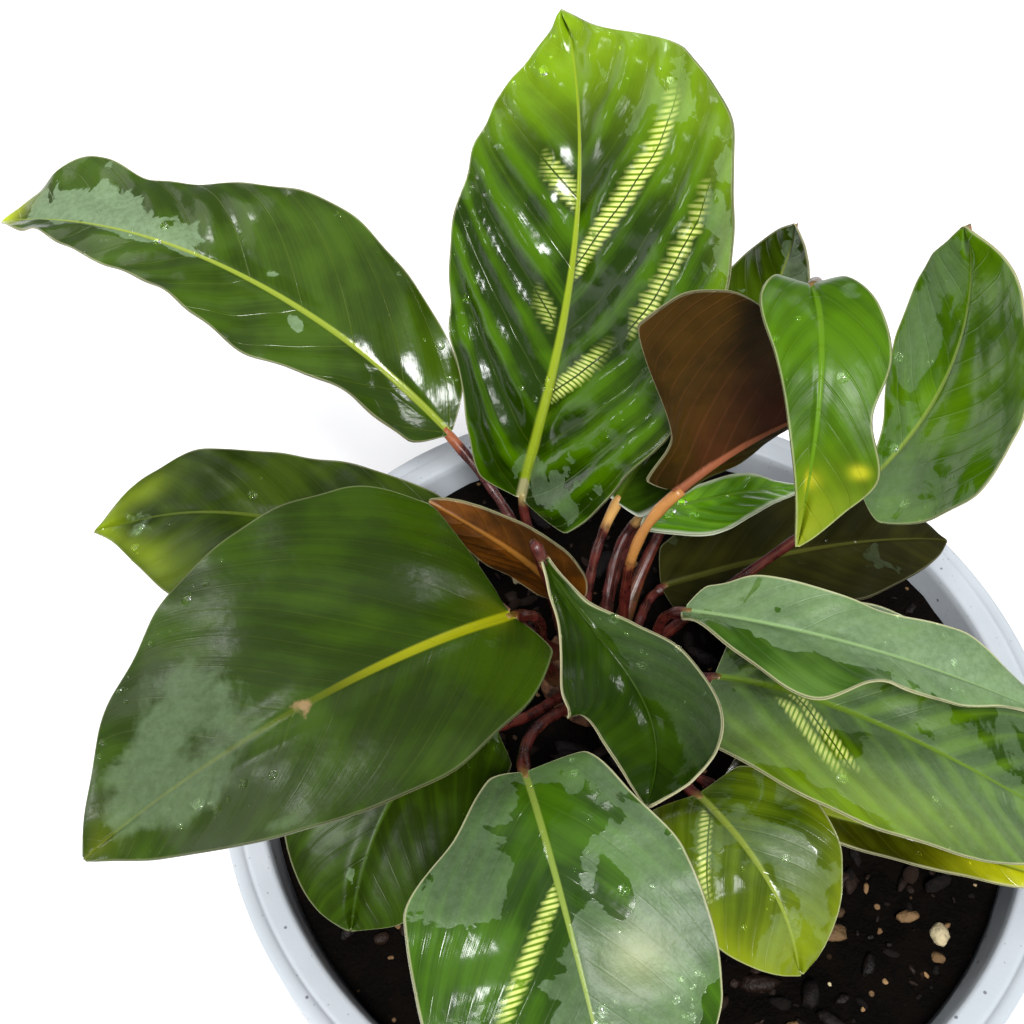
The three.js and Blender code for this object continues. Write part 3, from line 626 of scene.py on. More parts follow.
def under_material(leaf, rib):
    look = leaf["look"]
    paint = Paint("under_" + leaf["name"], look["under_dark"])
    _, width_mm, vein_mm = paint.carried("place")
    u, _, edge_mm = paint.carried("spot")
    flushed = paint.carried("under")[0]
    mottle = paint.noise(12, 4, 0.6)
    paint.coat(look["under"], paint.ease(mottle, 0.35, 0.65))
    paint.coat(look["flush"], flushed * paint.ease(paint.noise(4, 3), 0.3, 0.6, 0.6, 1.0))
    vein_line = paint.ease(paint.math("PINGPONG", vein_mm, vein_gap(leaf, rib) / 2), 0.08, 0.5, 1, 0)
    grain = vein_grain(paint, vein_mm, width_mm)
    paint.coat(look["under_rib"], vein_line * 0.06)
    paint.coat(look["under_dark"], paint.ease(grain, 0.4, 0.8, 0.0, 0.3))
    from_rib = paint.math("ABSOLUTE", width_mm) / paint.ease(u, 0.0, 1.0, 1.1, 0.3)
    paint.coat(look["under_rib"], paint.ease(from_rib, 0.6, 1.2, 0.8, 0.0))
    paint.coat(look["margin"], paint.ease(edge_mm, 0.1, 0.4, look["margin_strength"], 0.0))
    roughness = paint.ease(mottle, 0.3, 0.7, 0.5, 0.38)
    height = grain * 0.05 + vein_line * 0.06 + paint.noise(2.5, 3) * 0.12
    return paint.finish(roughness, height, IOR=UNDERSIDE_IOR, Specular_IOR_Level=look["shine"])


def stalk_material(leaf):
    """Dark red-brown, with the paler joint that carries the blade."""
    look = leaf["look"]
    paint = Paint("stalk_" + leaf["name"], tint(44, 12, 12))
    t, across, up = paint.carried("stalk")
    mottle = paint.noise(2.5, 3, 0.6)
    streaky = paint.noise(1.0, 2, 0.5, paint.join(t * 4.0, across * 5.0, up * 5.0))
    paint.coat(tint(82, 28, 22), paint.ease(mottle, 0.35, 0.65))
    paint.coat(tint(108, 66, 36), paint.ease(streaky, 0.5, 0.75, 0.0, 0.5))
    joint = paint.mixed(paint.ease(mottle, 0.3, 0.7, 0.0, 0.35), look["joint"], tint(120, 60, 30))
    wavering = t + (mottle - 0.5) * 0.12
    paint.coat(joint, paint.ease(wavering, look["joint_from"], look["joint_from"] + 0.08))
    paint.coat(tint(100, 78, 46), paint.ease(t, 0.0, 0.16, 0.5, 0.0))
    return paint.finish(paint.ease(mottle, 0.3, 0.7, 0.22, 0.4), streaky * 0.1 + mottle * 0.08, IOR=1.45)


def pot_material():
    paint = Paint("pot_plastic", tint(175, 182, 188))
    paint.coat(tint(183, 189, 195), paint.ease(paint.noise(18, 4), 0.3, 0.7))
    paint.coat(tint(70, 70, 80), paint.specks(2.6, 0.09, 0.15, 0.55, 0.6) * 0.75)
    paint.coat(tint(110, 110, 120), paint.specks(1.1, 0.1, 0.18, 0.7, 0.75) * 0.5)
    scuff = paint.noise(6, 6, 0.7)
    height = paint.noise(0.8, 3) * 0.03 + scuff * 0.03
    return paint.finish(paint.ease(scuff, 0.3, 0.7, 0.3, 0.45), height, IOR=1.49)


def soil_material():
    # Near-black base and clumps: dark moist soil, darkened further by painted shade from the leaves over it
    paint = Paint("moist_soil_with_painted_shade", tint(3, 2, 1))
    clump = paint.noise(5, 5, 0.65)
    crumb = paint.noise(1.2, 4, 0.7)
    paint.coat(tint(12, 7, 4), paint.ease(clump, 0.35, 0.68))
    paint.coat(tint(66, 44, 28), paint.ease(crumb, 0.64, 0.8, 0.0, 0.4))
    paint.coat(tint(150, 118, 84), paint.specks(3.0, 0.12, 0.2, 0.88, 0.9) * 0.7)
    height = crumb * 0.9 + paint.noise(0.5, 3, 0.7) * 0.3
    return paint.finish(paint.ease(clump, 0.35, 0.7, 0.7, 0.95), height, IOR=1.15)


def grit_material():
    """Bark, peat and pumice bits; each bit carries its own tone and dryness."""
    paint = Paint("soil_bits", tint(6, 3, 2))
    tone, dryness, _ = paint.carried("bit")
    grain = paint.noise(1.2, 4, 0.65)
    paint.coat(tint(32, 19, 11), paint.ease(tone, 0.0, 0.6))
    paint.coat(tint(150, 118, 80), paint.ease(tone, 0.66, 0.92))
    paint.coat(tint(190, 176, 140), paint.ease(tone, 0.95, 0.98))
    paint.coat(tint(26, 16, 10), paint.ease(grain, 0.4, 0.75, 0.0, 0.5))
    return paint.finish(paint.ease(dryness, 0.0, 1.0, 0.5, 0.95), grain * 0.5, IOR=1.3)


def crown_material():
    paint = Paint("rootstock", tint(44, 24, 18))
    fibre = paint.noise(2.0, 4, 0.7)
    paint.coat(tint(112, 76, 50), paint.ease(fibre, 0.35, 0.65))
    return paint.finish(paint.ease(fibre, 0.3, 0.7, 0.5, 0.85), fibre * 0.8, IOR=1.4)


def stub_material():
    paint = Paint("cut_stub", tint(88, 40, 30))
    fibre = paint.noise(0.8, 3, 0.6)
    paint.coat(tint(128, 70, 46), paint.ease(fibre, 0.35, 0.65))
    paint.coat(tint(214, 176, 118), paint.ease(paint.carried("stalk")[0], 0.9, 0.99))
    return paint.finish(paint.ease(fibre, 0.3, 0.7, 0.35, 0.6), fibre * 0.2, IOR=1.45)


def water_material():
    return Paint("water", (1.0, 1.0, 1.0, 1.0)).finish(0.02, IOR=1.33, Transmission_Weight=1.0)


def floor_material():
    paint = Paint("pale_floor", tint(243, 243, 244))
    paint.coat(tint(247, 247, 248), paint.ease(paint.noise(60, 3), 0.3, 0.7))
    return paint.finish(0.8)


# Meshes


def add_piece(name, points, faces, replaces, slot, materials, picks=None, marks=None):
    """One closed mesh from points in millimetres; replaces names the plain solids it stands for."""
    mesh = bpy.data.meshes.new(name)
    mesh.from_pydata((np.asarray(points) * MM).tolist(), [], faces)
    for material in materials:
        mesh.materials.append(material)
    if picks is not None:
        mesh.polygons.foreach_set("material_index", picks)
    mesh.polygons.foreach_set("use_smooth", [True] * len(mesh.polygons))
    for key, values in (marks or {}).items():
        attribute = mesh.attributes.new(key, "FLOAT_VECTOR", "POINT")
        attribute.data.foreach_set("vector", np.asarray(values, np.float32).ravel())
    mesh.update()
    piece = bpy.data.objects.new(name, mesh)
    bpy.context.scene.collection.objects.link(piece)
    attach(piece, "root")
    if replaces:
        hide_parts(*replaces)
    return piece


def grid_faces(rows, columns, start=0, flip=False):
    """Quads over a grid of points that is stored row by row."""
    i, j = np.meshgrid(np.arange(rows - 1), np.arange(columns - 1), indexing="ij")
    corner = start + i * columns + j
    quads = np.stack([corner, corner + 1, corner + columns + 1, corner + columns], -1).reshape(-1, 4)
    return (quads[:, ::-1] if flip else quads).tolist()


def ring_faces(rows, sides):
    """Quads round a tube of rings, whose points run anticlockwise seen from its far end."""
    i, j = np.meshgrid(np.arange(rows - 1), np.arange(sides), indexing="ij")
    here = i * sides + j
    beside = i * sides + (j + 1) % sides
    return np.stack([here, beside, beside + sides, here + sides], -1).reshape(-1, 4).tolist()


def closed_faces(rows, sides):
    """Faces round a tube of rings, closed to a point before its first ring and one after its last."""
    faces = ring_faces(rows, sides)
    first = rows * sides
    for j in range(sides):
        following = (j + 1) % sides
        faces.append([first, following, j])
        faces.append([first + 1, first - sides + j, first - sides + following])
    return faces


def joined(copies, faces):
    """Points and faces of many copies of one shape, each copy with its own points."""
    count = len(copies[0])
    all_faces = [[k + i * count for k in face] for i in range(len(copies)) for face in faces]
    return np.concatenate(copies), all_faces


def tube(path, radii, sides, start_side=(0.0, 0.0, 1.0)):
    """Points and faces of a closed round tube along a path."""
    forward = unit(np.gradient(path, axis=0))
    side = np.array(start_side)
    rings = []
    turn = np.linspace(0, 2 * np.pi, sides, endpoint=False)[:, None]
    for at, ahead, radius in zip(path, forward, radii):
        if abs(side @ ahead) > 0.95:
            side = side + (0.3, 0.2, 0)
        side = unit(side - ahead * (side @ ahead))
        other = np.cross(ahead, side)
        rings.append(at + radius * (np.cos(turn) * side + np.sin(turn) * other))
    points = np.concatenate(rings)
    faces = ring_faces(len(path), sides)
    last = len(points) - sides
    faces.append(list(range(sides))[::-1])
    faces.append(list(range(last, last + sides)))
    return points, faces


# Blades

LENGTH_STEPS = 110
# Places across half a blade, closer together at the midrib and at the margin
NEAR_RIB = [0, 0.02, 0.04, 0.065, 0.1, 0.145]
NEAR_MARGIN = [0.885, 0.92, 0.95, 0.975, 0.99, 1]
HALF_ACROSS = np.concatenate([NEAR_RIB, np.linspace(0.19, 0.84, 14), NEAR_MARGIN])
SHEET_HALF_THICKNESS = 0.2
EDGE_BULGE = 0.08
VEIN_SLANT = 1.1
NARROWEST_GAP = 4.5
WIDEST_GAP = 12.0
USUAL_GAP = 9.5
RIPPLE_HEIGHT = 0.35
RIPPLE_LENGTH = 13.0
VEIN_CURVE = 0.35
RIDGE_BASE = 1.0
RIDGE_TIP = 0.3
RIDGE_ROUNDNESS = 0.8
GROOVE_DEPTH = 0.12
GROOVE_WIDTH = 0.5
WAVELENGTHS = (34.0, 23.0, 15.0, 11.0, 7.5)


def vein_gap(leaf, rib):
    """Distance between side veins along the midrib."""
    return float(np.clip(rib["length"] * leaf["look"]["vein_share"], NARROWEST_GAP, WIDEST_GAP))


def vein_place(along_mm, across_mm, v):
    """Where on the midrib the side vein through a point leaves it."""
    return along_mm - VEIN_SLANT * np.abs(across_mm) * (1 + VEIN_CURVE * np.abs(v) ** 3)


def undulation(points, seed, size):
    """A soft unevenness of a few millimetres' wavelength, from a handful of plane waves."""
    source = np.random.default_rng(seed)
    total = np.zeros(points.shape[:-1])
    for wavelength in WAVELENGTHS:
        heading = unit(source.normal(size=3))
        total += wavelength * np.sin(2 * np.pi * (points @ heading / wavelength + source.random()))
    return total * size / WAVELENGTHS[0]


def blade_relief(leaf, rib, u, v, points, seed):
    """Height of the pleats, the puckers and the margin's ripple over the smooth blade."""
    length_mm = u * rib["length"]
    width_mm = v * width_at(leaf, u, v)
    out = np.abs(v)
    gap = vein_gap(leaf, rib)
    phase = vein_place(length_mm, width_mm, v) / gap
    between = 0.5 - 0.5 * np.cos(2 * np.pi * phase)
    share = gap / USUAL_GAP
    reach = smoothstep(0.0, 0.3, out) * (1 - 0.75 * smoothstep(0.7, 1, out)) * smoothstep(0, 0.12, u)
    pleats = leaf["look"]["pleat"] * share * reach * between
    turns = length_mm / RIPPLE_LENGTH + 0.3 * np.sign(v) + seed * 0.37
    ripple = RIPPLE_HEIGHT * out ** 5 * np.sin(2 * np.pi * turns)
    fade = smoothstep(0, 0.1, u) * smoothstep(0.02, 0.2, out)
    return pleats + (ripple * share + undulation(points, seed, 0.5)) * fade


def blob_sum(blobs, u, v):
    """Soft spots, each given as (u, v, reach along u, reach along v, strength)."""
    total = np.zeros_like(u)
    for at_u, at_v, reach_u, reach_v, strength in blobs:
        total += strength * np.exp(-((u - at_u) / reach_u) ** 2 - ((v - at_v) / reach_v) ** 2)
    return total


def streak_mask(streaks, vein_mm, v):
    """Bands along side veins: (side, vein place, nearest and farthest |v|, half-width, strength)."""
    total = np.zeros_like(v)
    for side, place, nearest, farthest, reach, strength in streaks:
        out = v * side
        begun = smoothstep(nearest - 0.04, nearest + 0.02, out)
        ended = smoothstep(farthest - 0.15, farthest, out)
        band = 1 - smoothstep(reach * 0.7, reach, np.abs(vein_mm - place))
        total = np.maximum(total, strength * begun * (1 - ended) * band)
    return total


def build_blade(leaf, seed):
    rib = midrib(leaf)
    look = leaf["look"]
    across = np.concatenate([-HALF_ACROSS[:0:-1], HALF_ACROSS])
    u, v = np.meshgrid(np.linspace(0, 1, LENGTH_STEPS + 1), across, indexing="ij")
    base = blade_surface(leaf, rib, u, v)
    upward = blade_upward(leaf, rib, u, v)
    relief = blade_relief(leaf, rib, u, v, base, seed)
    centre = base + upward * relief[..., None]
    length_mm = u * rib["length"]
    width = width_at(leaf, u, v)
    width_mm = v * width
    ridge_size = RIDGE_BASE + (RIDGE_TIP - RIDGE_BASE) * u
    ridge = np.sqrt(np.maximum(1 - (width_mm / ridge_size) ** 2, 0)) * ridge_size * RIDGE_ROUNDNESS
    groove = GROOVE_DEPTH * np.exp(-(width_mm / GROOVE_WIDTH) ** 2)
    upper = centre + upward * (SHEET_HALF_THICKNESS - groove)[..., None]
    lower = centre - upward * (SHEET_HALF_THICKNESS + ridge)[..., None]

    rows, columns = u.shape
    index = np.arange(rows * columns).reshape(rows, columns)
    loop = np.concatenate([index[:-1, 0], index[-1, :-1], index[:0:-1, -1], index[0, :0:-1]])
    flat_u, flat_v = u.ravel()[loop], v.ravel()[loop]
    inside = blade_surface(leaf, rib, np.clip(flat_u, 0.01, 0.99), flat_v * 0.97)
    outward = unit(base.reshape(-1, 3)[loop] - inside)
    rim = centre.reshape(-1, 3)[loop] + outward * EDGE_BULGE
    count = rows * columns
    points = np.concatenate([upper.reshape(-1, 3), lower.reshape(-1, 3), rim])
    faces = grid_faces(rows, columns)
    under_faces = grid_faces(rows, columns, start=count, flip=True)
    follow = np.roll(np.arange(len(loop)), -1)
    rim_index = 2 * count + np.arange(len(loop))
    top_strip = np.stack([loop, rim_index, rim_index[follow], loop[follow]], -1)
    low_strip = np.stack([rim_index, loop + count, loop[follow] + count, rim_index[follow]], -1)
    picks = [0] * len(faces) + [1] * len(under_faces) + [0] * len(top_strip) + [1] * len(low_strip)
    faces += under_faces + top_strip.tolist() + low_strip.tolist()

    vein_mm = vein_place(length_mm, width_mm, v)
    edge_mm = np.minimum((1 - np.abs(v)) * width, (1 - u) * rib["length"])
    yellow = blob_sum(look["yellow"], u, v)
    film = blob_sum(look["film"], u, v)
    streak = streak_mask(look["streaks"], vein_mm, v)
    flushed = blob_sum(look["flushed"], u, v)

    def spread(*channels):
        sheet = np.stack(channels, -1).reshape(-1, 3)
        return np.concatenate([sheet, sheet, sheet[loop]])

    marks = {
        "place": spread(length_mm, width_mm, vein_mm),
        "spot": spread(u, v, edge_mm),
        "marks": spread(streak, film, yellow),
        "under": spread(flushed, flushed, flushed),
    }
    add_piece("leaf_" + leaf["name"], points, faces, ["blade_" + leaf["name"]], "leaf",
              [upper_material(leaf, rib), under_material(leaf, rib)], picks, marks)
    return rib


# Stalks, crown and stub

STALK_STEPS = 44
STALK_SIDES = 14
STUB_SIDES = 24
STALK_SINK = 0.7
BLADE_OVERLAP = 1.2


def crown_place(distance, angle):
    """A point on the crown's domed top, and the direction that the dome faces there."""
    turn = math.radians(angle)
    x, y = distance * math.cos(turn), distance * math.sin(turn)
    height = CROWN_RISE * math.sqrt(1 - (distance / CROWN_RADIUS) ** 2)
    at = np.array([CROWN_AT[0] + x, CROWN_AT[1] + y, CROWN_LEVEL + height])
    return at, unit(np.array([x / CROWN_RADIUS ** 2, y / CROWN_RADIUS ** 2, height / CROWN_RISE ** 2]))


def stalk_marks(path, sides):
    t = np.repeat(np.linspace(0, 1, len(path)), sides)
    turn = np.tile(np.linspace(0, 2 * np.pi, sides, endpoint=False), len(path))
    return {"stalk": np.stack([t, np.sin(turn), np.cos(turn)], -1)}


def build_stalk(leaf, rib):
    at, facing = crown_place(*leaf["sprout"])
    blade_base, forward = rib["at"][0], rib["forward"][0]
    reach = np.linalg.norm(at - blade_base) * PETIOLE_BOW
    low, high = at + facing * reach, blade_base - forward * reach
    if leaf["stalk"]:
        low, high = above_table(leaf["stalk"])
    end = blade_base + forward * BLADE_OVERLAP - rib["up"][0] * 0.5
    bends = np.array([at - facing * STALK_SINK, low, high, end])
    t = np.linspace(0, 1, STALK_STEPS + 1)
    path = bezier(bends, t)
    sheath = 0.75 * (1 - smoothstep(0.0, 0.22, t))
    joint = 0.16 * smoothstep(0.82, 0.9, t) * (1 - 0.8 * smoothstep(0.95, 1.0, t))
    knots = 0.05 * np.sin(t * 40 + leaf["sprout"][1])
    radii = PETIOLE_RADIUS * (0.92 + sheath + joint + knots - 0.12 * t)
    points, faces = tube(path, radii, STALK_SIDES, rib["across"][0])
    add_piece("stalk_of_" + leaf["name"], points, faces, ["stalk_" + leaf["name"]], "stalk",
              [stalk_material(leaf)], marks=stalk_marks(path, STALK_SIDES))


def ball(subdivisions):
    """Points and faces of a round ball of radius 1."""
    made = bmesh.new()
    bmesh.ops.create_icosphere(made, subdivisions=subdivisions, radius=1)
    points = np.array([vertex.co for vertex in made.verts])
    faces = [[vertex.index for vertex in face.verts] for face in made.faces]
    made.free()
    return points, faces


def lumpiness(points, size, octaves=3):
    """Fractal noise at points in millimetres, about -1 to 1."""
    return np.array([noise.fractal(Vector(point) / size, 1.0, 2.0, octaves) for point in points])


def build_crown():
    points, faces = ball(5)
    shape = points * (CROWN_RADIUS, CROWN_RADIUS, CROWN_RISE)
    knobs = 0.5 * lumpiness(shape, 4.0) + 0.25 * lumpiness(shape, 1.5)
    shape = shape + points * np.minimum(knobs, 0.25)[:, None]
    shape = shape + (*CROWN_AT, CROWN_LEVEL)
    add_piece("rootstock_crown", shape, faces, ["crown"], "rootstock", [crown_material()])


def build_stub():
    at, facing = crown_place(INNER_RING, STUB_ANGLE)
    t = np.concatenate([np.linspace(0, 0.97, 16), [0.985, 1.0]])
    path = at + facing * (-STALK_SINK + (STUB_LENGTH + GAP + STALK_SINK) * t)[:, None]
    radii = STUB_RADIUS * (1 + 0.12 * np.sin(9 * t) - 0.15 * t)
    radii[-1] *= 0.86
    points, faces = tube(path, radii, STUB_SIDES)
    outward = unit(points - np.repeat(path, STUB_SIDES, axis=0))
    points = points + outward * 0.1 * lumpiness(points, 1.6)[:, None]
    add_piece("cut_flower_stub", points, faces, ["cut_stub"], "rootstock", [stub_material()],
              marks=stalk_marks(path, STUB_SIDES))


# Pot and soil

POT_SIDES = 192
DRAIN_SIDES = 40
SOIL_RINGS = 96
SOIL_SIDES = 240
SOIL_BITS = 900
SMALLEST_BIT = 0.45
BIT_SPREAD = 1.9
PALE_TONE = 0.9


def inner_radius(z):
    """Radius of the pot's inner wall at a height."""
    mouth = RIM_RADIUS - RIM_LIP_WIDTH
    floor_radius = BASE_RADIUS - WALL
    return floor_radius + (mouth - floor_radius) * (z / POT_HEIGHT)


def turned(profile, sides):
    """Points and faces of a solid turned from (radius, z) places; the first and last are on the axis."""
    turn = np.linspace(0, 2 * np.pi, sides, endpoint=False)
    rings = [np.stack([r * np.cos(turn), r * np.sin(turn), np.full(sides, z)], -1) for r, z in profile[1:-1]]
    points = np.concatenate(rings + [np.array([[0, 0, profile[0][1]], [0, 0, profile[-1][1]]])])
    return points, closed_faces(len(rings), sides)


def rounded(corners, steps=4):
    """A profile with each corner (radius, z, rounding) cut to a smooth bend."""
    path = [corners[0][:2]]
    for before, (r, z, rounding), after in zip(corners, corners[1:], corners[2:]):
        corner = np.array([r, z])
        if rounding == 0:
            path.append((r, z))
            continue
        enter = corner + unit(np.array(before[:2]) - corner) * rounding
        leave = corner + unit(np.array(after[:2]) - corner) * rounding
        for t in np.linspace(0, 1, steps + 1):
            bend = (1 - t) ** 2 * enter + 2 * (1 - t) * t * corner + t ** 2 * leave
            path.append(tuple(bend))
    path.append(corners[-1][:2])
    return path


def build_pot():
    under_lip = POT_HEIGHT - WALL
    skirt_foot = POT_HEIGHT - RIM_SKIRT_HEIGHT
    mouth = inner_radius(POT_HEIGHT)
    profile = rounded([
        (0, FOOT_HEIGHT, 0), (BASE_RADIUS - FOOT_WIDTH - 2, FOOT_HEIGHT, 1),
        (BASE_RADIUS - FOOT_WIDTH, 0, 0.8), (BASE_RADIUS, 0, 1.4),
        (inner_radius(under_lip) + WALL, under_lip, 1.2), (RIM_RADIUS - WALL, under_lip, 1.0),
        (RIM_RADIUS - WALL, skirt_foot, 0.7), (RIM_RADIUS, skirt_foot, 0.7),
        (RIM_RADIUS, POT_HEIGHT - 3.2, 0.3), (RIM_RADIUS - 0.35, POT_HEIGHT - 2.6, 0.3),
        (RIM_RADIUS, POT_HEIGHT - 2.0, 0.3), (RIM_RADIUS, POT_HEIGHT, 0.9),
        (RIM_RADIUS - 2.0, POT_HEIGHT, 0.7), (RIM_RADIUS - 2.5, POT_HEIGHT - 0.5, 0.3),
        (RIM_RADIUS - 3.1, POT_HEIGHT - 0.35, 0.3), (mouth + 0.6, POT_HEIGHT - 0.6, 0.6),
        (mouth, POT_HEIGHT - 1.6, 0.8), (inner_radius(FLOOR), FLOOR, 1.5), (0, FLOOR, 0)])
    points, faces = turned(profile, POT_SIDES)
    pot = add_piece("nursery_pot", points, faces, ["pot"], "pot", [pot_material()])
    holes = []
    for i in range(DRAIN_HOLES):
        angle = 2 * math.pi * i / DRAIN_HOLES
        centre = np.array([DRAIN_CIRCLE * math.cos(angle), DRAIN_CIRCLE * math.sin(angle), 0])
        path = centre + np.array([[0, 0, -FLOOR], [0, 0, 0], [0, 0, FLOOR], [0, 0, 2 * FLOOR]])
        hole_points, hole_faces = tube(path, [DRAIN_RADIUS] * 4, DRAIN_SIDES, (1.0, 0.0, 0.0))
        holes.append(hole_points)
    all_points, all_faces = joined(holes, hole_faces)
    cutter_mesh = bpy.data.meshes.new("drain_holes")
    cutter_mesh.from_pydata((all_points * MM).tolist(), [], all_faces)
    cutter = bpy.data.objects.new("drain_holes", cutter_mesh)
    bpy.context.scene.collection.objects.link(cutter)
    cut = pot.modifiers.new("drain", "BOOLEAN")
    cut.operation = "DIFFERENCE"
    cut.solver = "EXACT"
    cut.object = cutter
    graph = bpy.context.evaluated_depsgraph_get()
    drained = bpy.data.meshes.new_from_object(pot.evaluated_get(graph))
    pot.modifiers.clear()
    pot.data = drained
    bpy.data.objects.remove(cutter)
    drained.polygons.foreach_set("use_smooth", [True] * len(drained.polygons))
    drained.set_sharp_from_angle(angle=math.radians(50))


def soil_height(x, y):
    """Level of the soil's lumpy top, with the crown's seat pressed into it."""
    radius = math.hypot(x, y)
    edge_share = min(radius / inner_radius(SOIL_EDGE), 1)
    level = SOIL_EDGE + SOIL_MOUND * (1 - edge_share ** 2)
    lumps = noise.fractal(Vector((x, y, 0)) / 9, 1.0, 2.0, 3) * 1.1
    crumbs = noise.fractal(Vector((x, y, 7)) / 2.4, 1.0, 2.1, 3) * 0.55
    level += (lumps + crumbs) * (1 - 0.6 * edge_share ** 8)
    away = math.hypot(x - CROWN_AT[0], y - CROWN_AT[1]) / (CROWN_RADIUS + GAP)
    if away < 1:
        return min(level, CROWN_LEVEL - (CROWN_RISE + GAP) * math.sqrt(1 - away ** 2))
    return level


def build_soil():
    bottom = FLOOR + GAP
    turn = np.linspace(0, 2 * np.pi, SOIL_SIDES, endpoint=False)
    rings = []
    reach = inner_radius(SOIL_EDGE) - GAP
    for share in (np.arange(1, SOIL_RINGS + 1) / SOIL_RINGS)[::-1]:
        ring = [(share * reach * c, share * reach * s) for c, s in zip(np.cos(turn), np.sin(turn))]
        rings.append([(x, y, soil_height(x, y)) for x, y in ring])
    sides = []
    for z in np.linspace(bottom, SOIL_EDGE - 3, 12):
        r = inner_radius(z) - GAP
        sides.append([(r * c, r * s, z) for c, s in zip(np.cos(turn), np.sin(turn))])
    points = np.array(sides + rings).reshape(-1, 3)
    points = np.concatenate([points, [[0, 0, bottom], [0, 0, soil_height(0, 0)]]])
    faces = closed_faces(len(sides + rings), SOIL_SIDES)
    add_piece("potting_mix", points, faces, ["soil"], "soil", [soil_material()])


def build_soil_bits():
    """Bits of bark, peat and pumice lying in the soil's top."""
    source = np.random.default_rng(11)
    shape, faces = ball(2)
    bits, marks = [], []
    reach = inner_radius(SOIL_EDGE) - 2.5
    while len(bits) < SOIL_BITS:
        x, y = source.uniform(-reach, reach, 2)
        size = SMALLEST_BIT + BIT_SPREAD * source.random() ** 3
        from_crown = math.hypot(x - CROWN_AT[0], y - CROWN_AT[1])
        if math.hypot(x, y) > reach - size or from_crown < CROWN_RADIUS + 1:
            continue
        tone = source.random() ** 1.8
        stretch = source.uniform((0.8, 0.5, 0.35), (1.7, 0.9, 0.7))
        if tone > PALE_TONE:
            stretch = source.uniform((0.6, 0.5, 0.4), (0.9, 0.8, 0.7))
        seat = source.uniform(-40, 40, 3)
        rough = shape * (1 + 0.45 * lumpiness(shape + seat, 0.9, 2))[:, None] * stretch * size
        turned_by = Matrix.Rotation(source.uniform(0, 6.28), 3, "Z")
        tilted_by = Matrix.Rotation(source.normal(0, 0.35), 3, "X")
        lying = rough @ np.array(turned_by @ tilted_by).T
        at = np.array([x, y, soil_height(x, y) + 0.12 * size])
        bits.append(lying + at)
        marks += [(tone, source.random(), 0)] * len(shape)
    add_piece("soil_bits", *joined(bits, faces), [], "soil", [grit_material()],
              marks={"bit": np.array(marks)})


# Water drops

DROP_RINGS = 4
DROP_SIDES = 12
SMALLEST_DROP = 0.22
DROP_SPREAD = 0.75
DROP_HEIGHT = 0.5


def drop_shape():
    """A low dome with a closed flat underside, of radius 1, standing on z = 0."""
    points = []
    for i in range(DROP_RINGS):
        lean = math.radians(90 - 88 * i / DROP_RINGS)
        for j in range(DROP_SIDES):
            turn = 2 * math.pi * j / DROP_SIDES
            level, height = math.sin(lean), DROP_HEIGHT * math.cos(lean)
            points.append((level * math.cos(turn), level * math.sin(turn), height))
    points += [(0, 0, -0.05), (0, 0, DROP_HEIGHT)]
    return np.array(points), closed_faces(DROP_RINGS, DROP_SIDES)


def build_drops(leaf, rib, seed):
    source = np.random.default_rng(100 + seed)
    shape, faces = drop_shape()
    made = []
    for at_u, at_v, reach_u, reach_v, count in leaf["look"]["drops"]:
        for _ in range(count):
            u = np.array([[np.clip(source.normal(at_u, reach_u), 0.06, 0.97)]])
            v = np.array([[np.clip(source.normal(at_v, reach_v), -0.97, 0.97)]])
            size = SMALLEST_DROP + DROP_SPREAD * source.random() ** 4
            base = blade_surface(leaf, rib, u, v)
            upward = blade_upward(leaf, rib, u, v)
            relief = blade_relief(leaf, rib, u, v, base, seed)
            seat = (base + upward * (relief + SHEET_HALF_THICKNESS - 0.02)[..., None])[0, 0]
            facing = Vector(upward[0, 0]).to_track_quat("Z", "Y").to_matrix()
            stretch = shape * (1, source.uniform(0.8, 1.15), 1) * size
            made.append(stretch @ np.array(facing).T + seat)
    drops = add_piece("drops_on_" + leaf["name"], *joined(made, faces), [], None, [water_material()])
    drops.visible_shadow = False


# Build

for number, each in enumerate(LEAVES):
    blade_rib = build_blade(each, number)
    build_stalk(each, blade_rib)
    build_drops(each, blade_rib, number)
build_crown()
build_stub()
build_pot()
build_soil()
build_soil_bits()


# Camera, floor and light

scene = bpy.context.scene


def aimed(data, name, at, target):
    """An object at a place, in millimetres, that looks at a target."""
    made = bpy.data.objects.new(name, data)
    made.location = Vector(at) * MM
    made.rotation_euler = (Vector(target) - Vector(at)).to_track_quat("-Z", "Y").to_euler()
    scene.collection.objects.link(made)
    return made


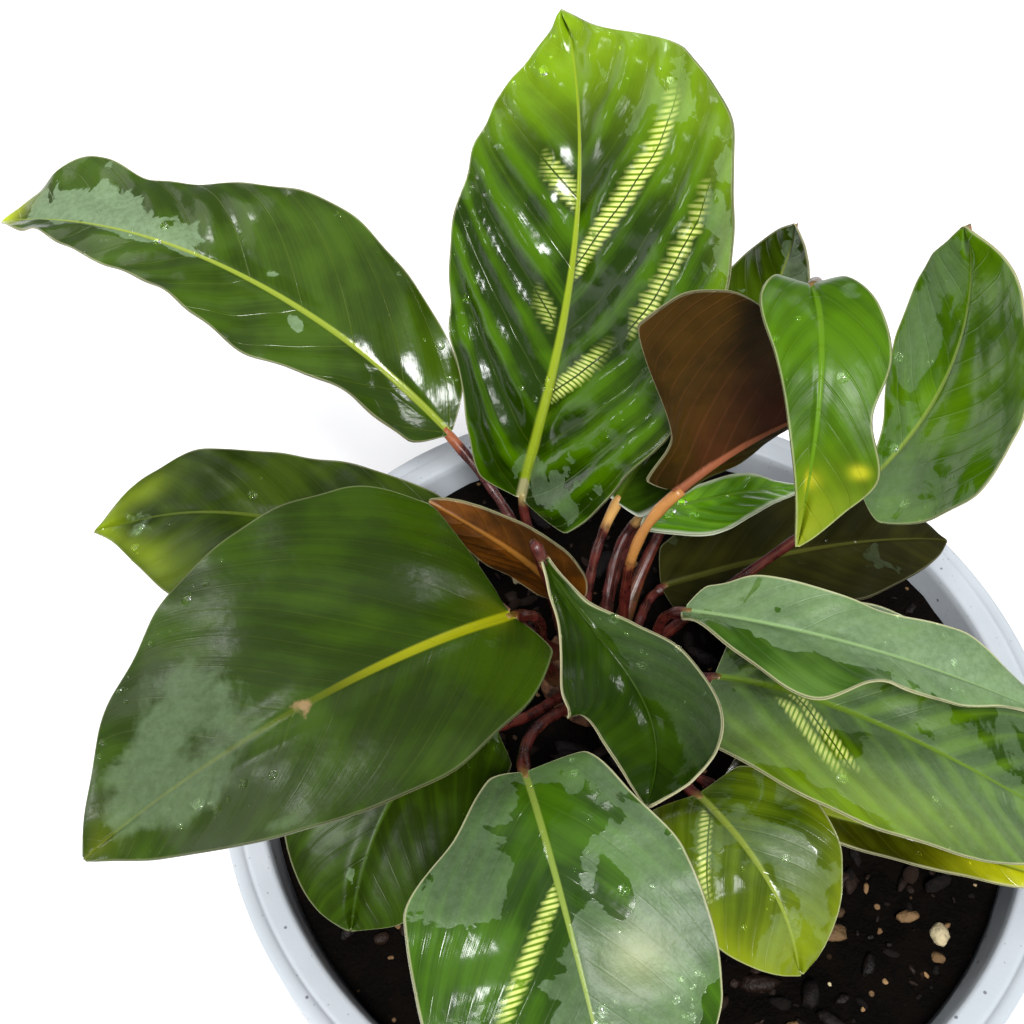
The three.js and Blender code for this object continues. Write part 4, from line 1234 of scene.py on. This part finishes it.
towards_camera = np.array([0, -math.cos(CAMERA_ELEVATION), math.sin(CAMERA_ELEVATION)])
camera_data = bpy.data.cameras.new("camera")
camera_data.lens = CAMERA_FOCAL
camera_data.sensor_width = SENSOR_WIDTH
camera_data.clip_start = 0.01
camera_place = CAMERA_TARGET + towards_camera * CAMERA_DISTANCE
scene.camera = aimed(camera_data, "camera", camera_place, CAMERA_TARGET)

PLANT_MIDDLE = np.array([-10, 20, 145])


def sky_place(turn, rise, distance):
    """A place round the plant: turned from the front towards the right, and risen, in degrees."""
    turn, rise = math.radians(turn), math.radians(rise)
    level = distance * math.cos(rise)
    return PLANT_MIDDLE + (level * math.sin(turn), -level * math.cos(turn), distance * math.sin(rise))


def soft_light(name, turn, rise, distance, size, power, colour=(1.0, 1.0, 1.0)):
    data = bpy.data.lights.new(name, "AREA")
    data.shape = "RECTANGLE"
    data.size, data.size_y = size[0] * MM, size[1] * MM
    data.energy = power
    data.color = colour
    aimed(data, name, sky_place(turn, rise, distance), PLANT_MIDDLE)


soft_light("window", -118, 40, 1000, (750, 500), 1.8, (1.0, 0.98, 0.93))
soft_light("overhead", 0, 90, 1100, (1200, 1200), 1.6)
soft_light("left_glint", -92, 12, 800, (40, 120), 0.35)
soft_light("upper_left_glint", -58, 36, 800, (45, 45), 0.25)
soft_light("front_glint", 15, 36, 800, (60, 60), 0.5)
soft_light("back_glint", -128, 50, 800, (50, 50), 0.4)
soft_light("right_glint", 125, 42, 800, (60, 120), 0.6)

front_data = bpy.data.lights.new("front", "SUN")
front_data.energy = 3.9
front_data.angle = math.radians(18)
aimed(front_data, "front", sky_place(4, 58, 900), PLANT_MIDDLE)

world = bpy.data.worlds.new("studio")
world.use_nodes = True
sky = world.node_tree.nodes["Background"]
sky.inputs["Color"].default_value = (0.95, 0.97, 1.0, 1.0)
sky.inputs["Strength"].default_value = 0.32
scene.world = world
scene.view_settings.view_transform = "Standard"

FLOOR_REACH = 30.0
floor_mesh = bpy.data.meshes.new("floor")
floor_mesh.from_pydata([(-FLOOR_REACH, -FLOOR_REACH, 0), (FLOOR_REACH, -FLOOR_REACH, 0),
                        (FLOOR_REACH, FLOOR_REACH, 0), (-FLOOR_REACH, FLOOR_REACH, 0)], [], [(0, 1, 2, 3)])
floor_mesh.materials.append(floor_material())
floor = bpy.data.objects.new("floor", floor_mesh)
scene.collection.objects.link(floor)
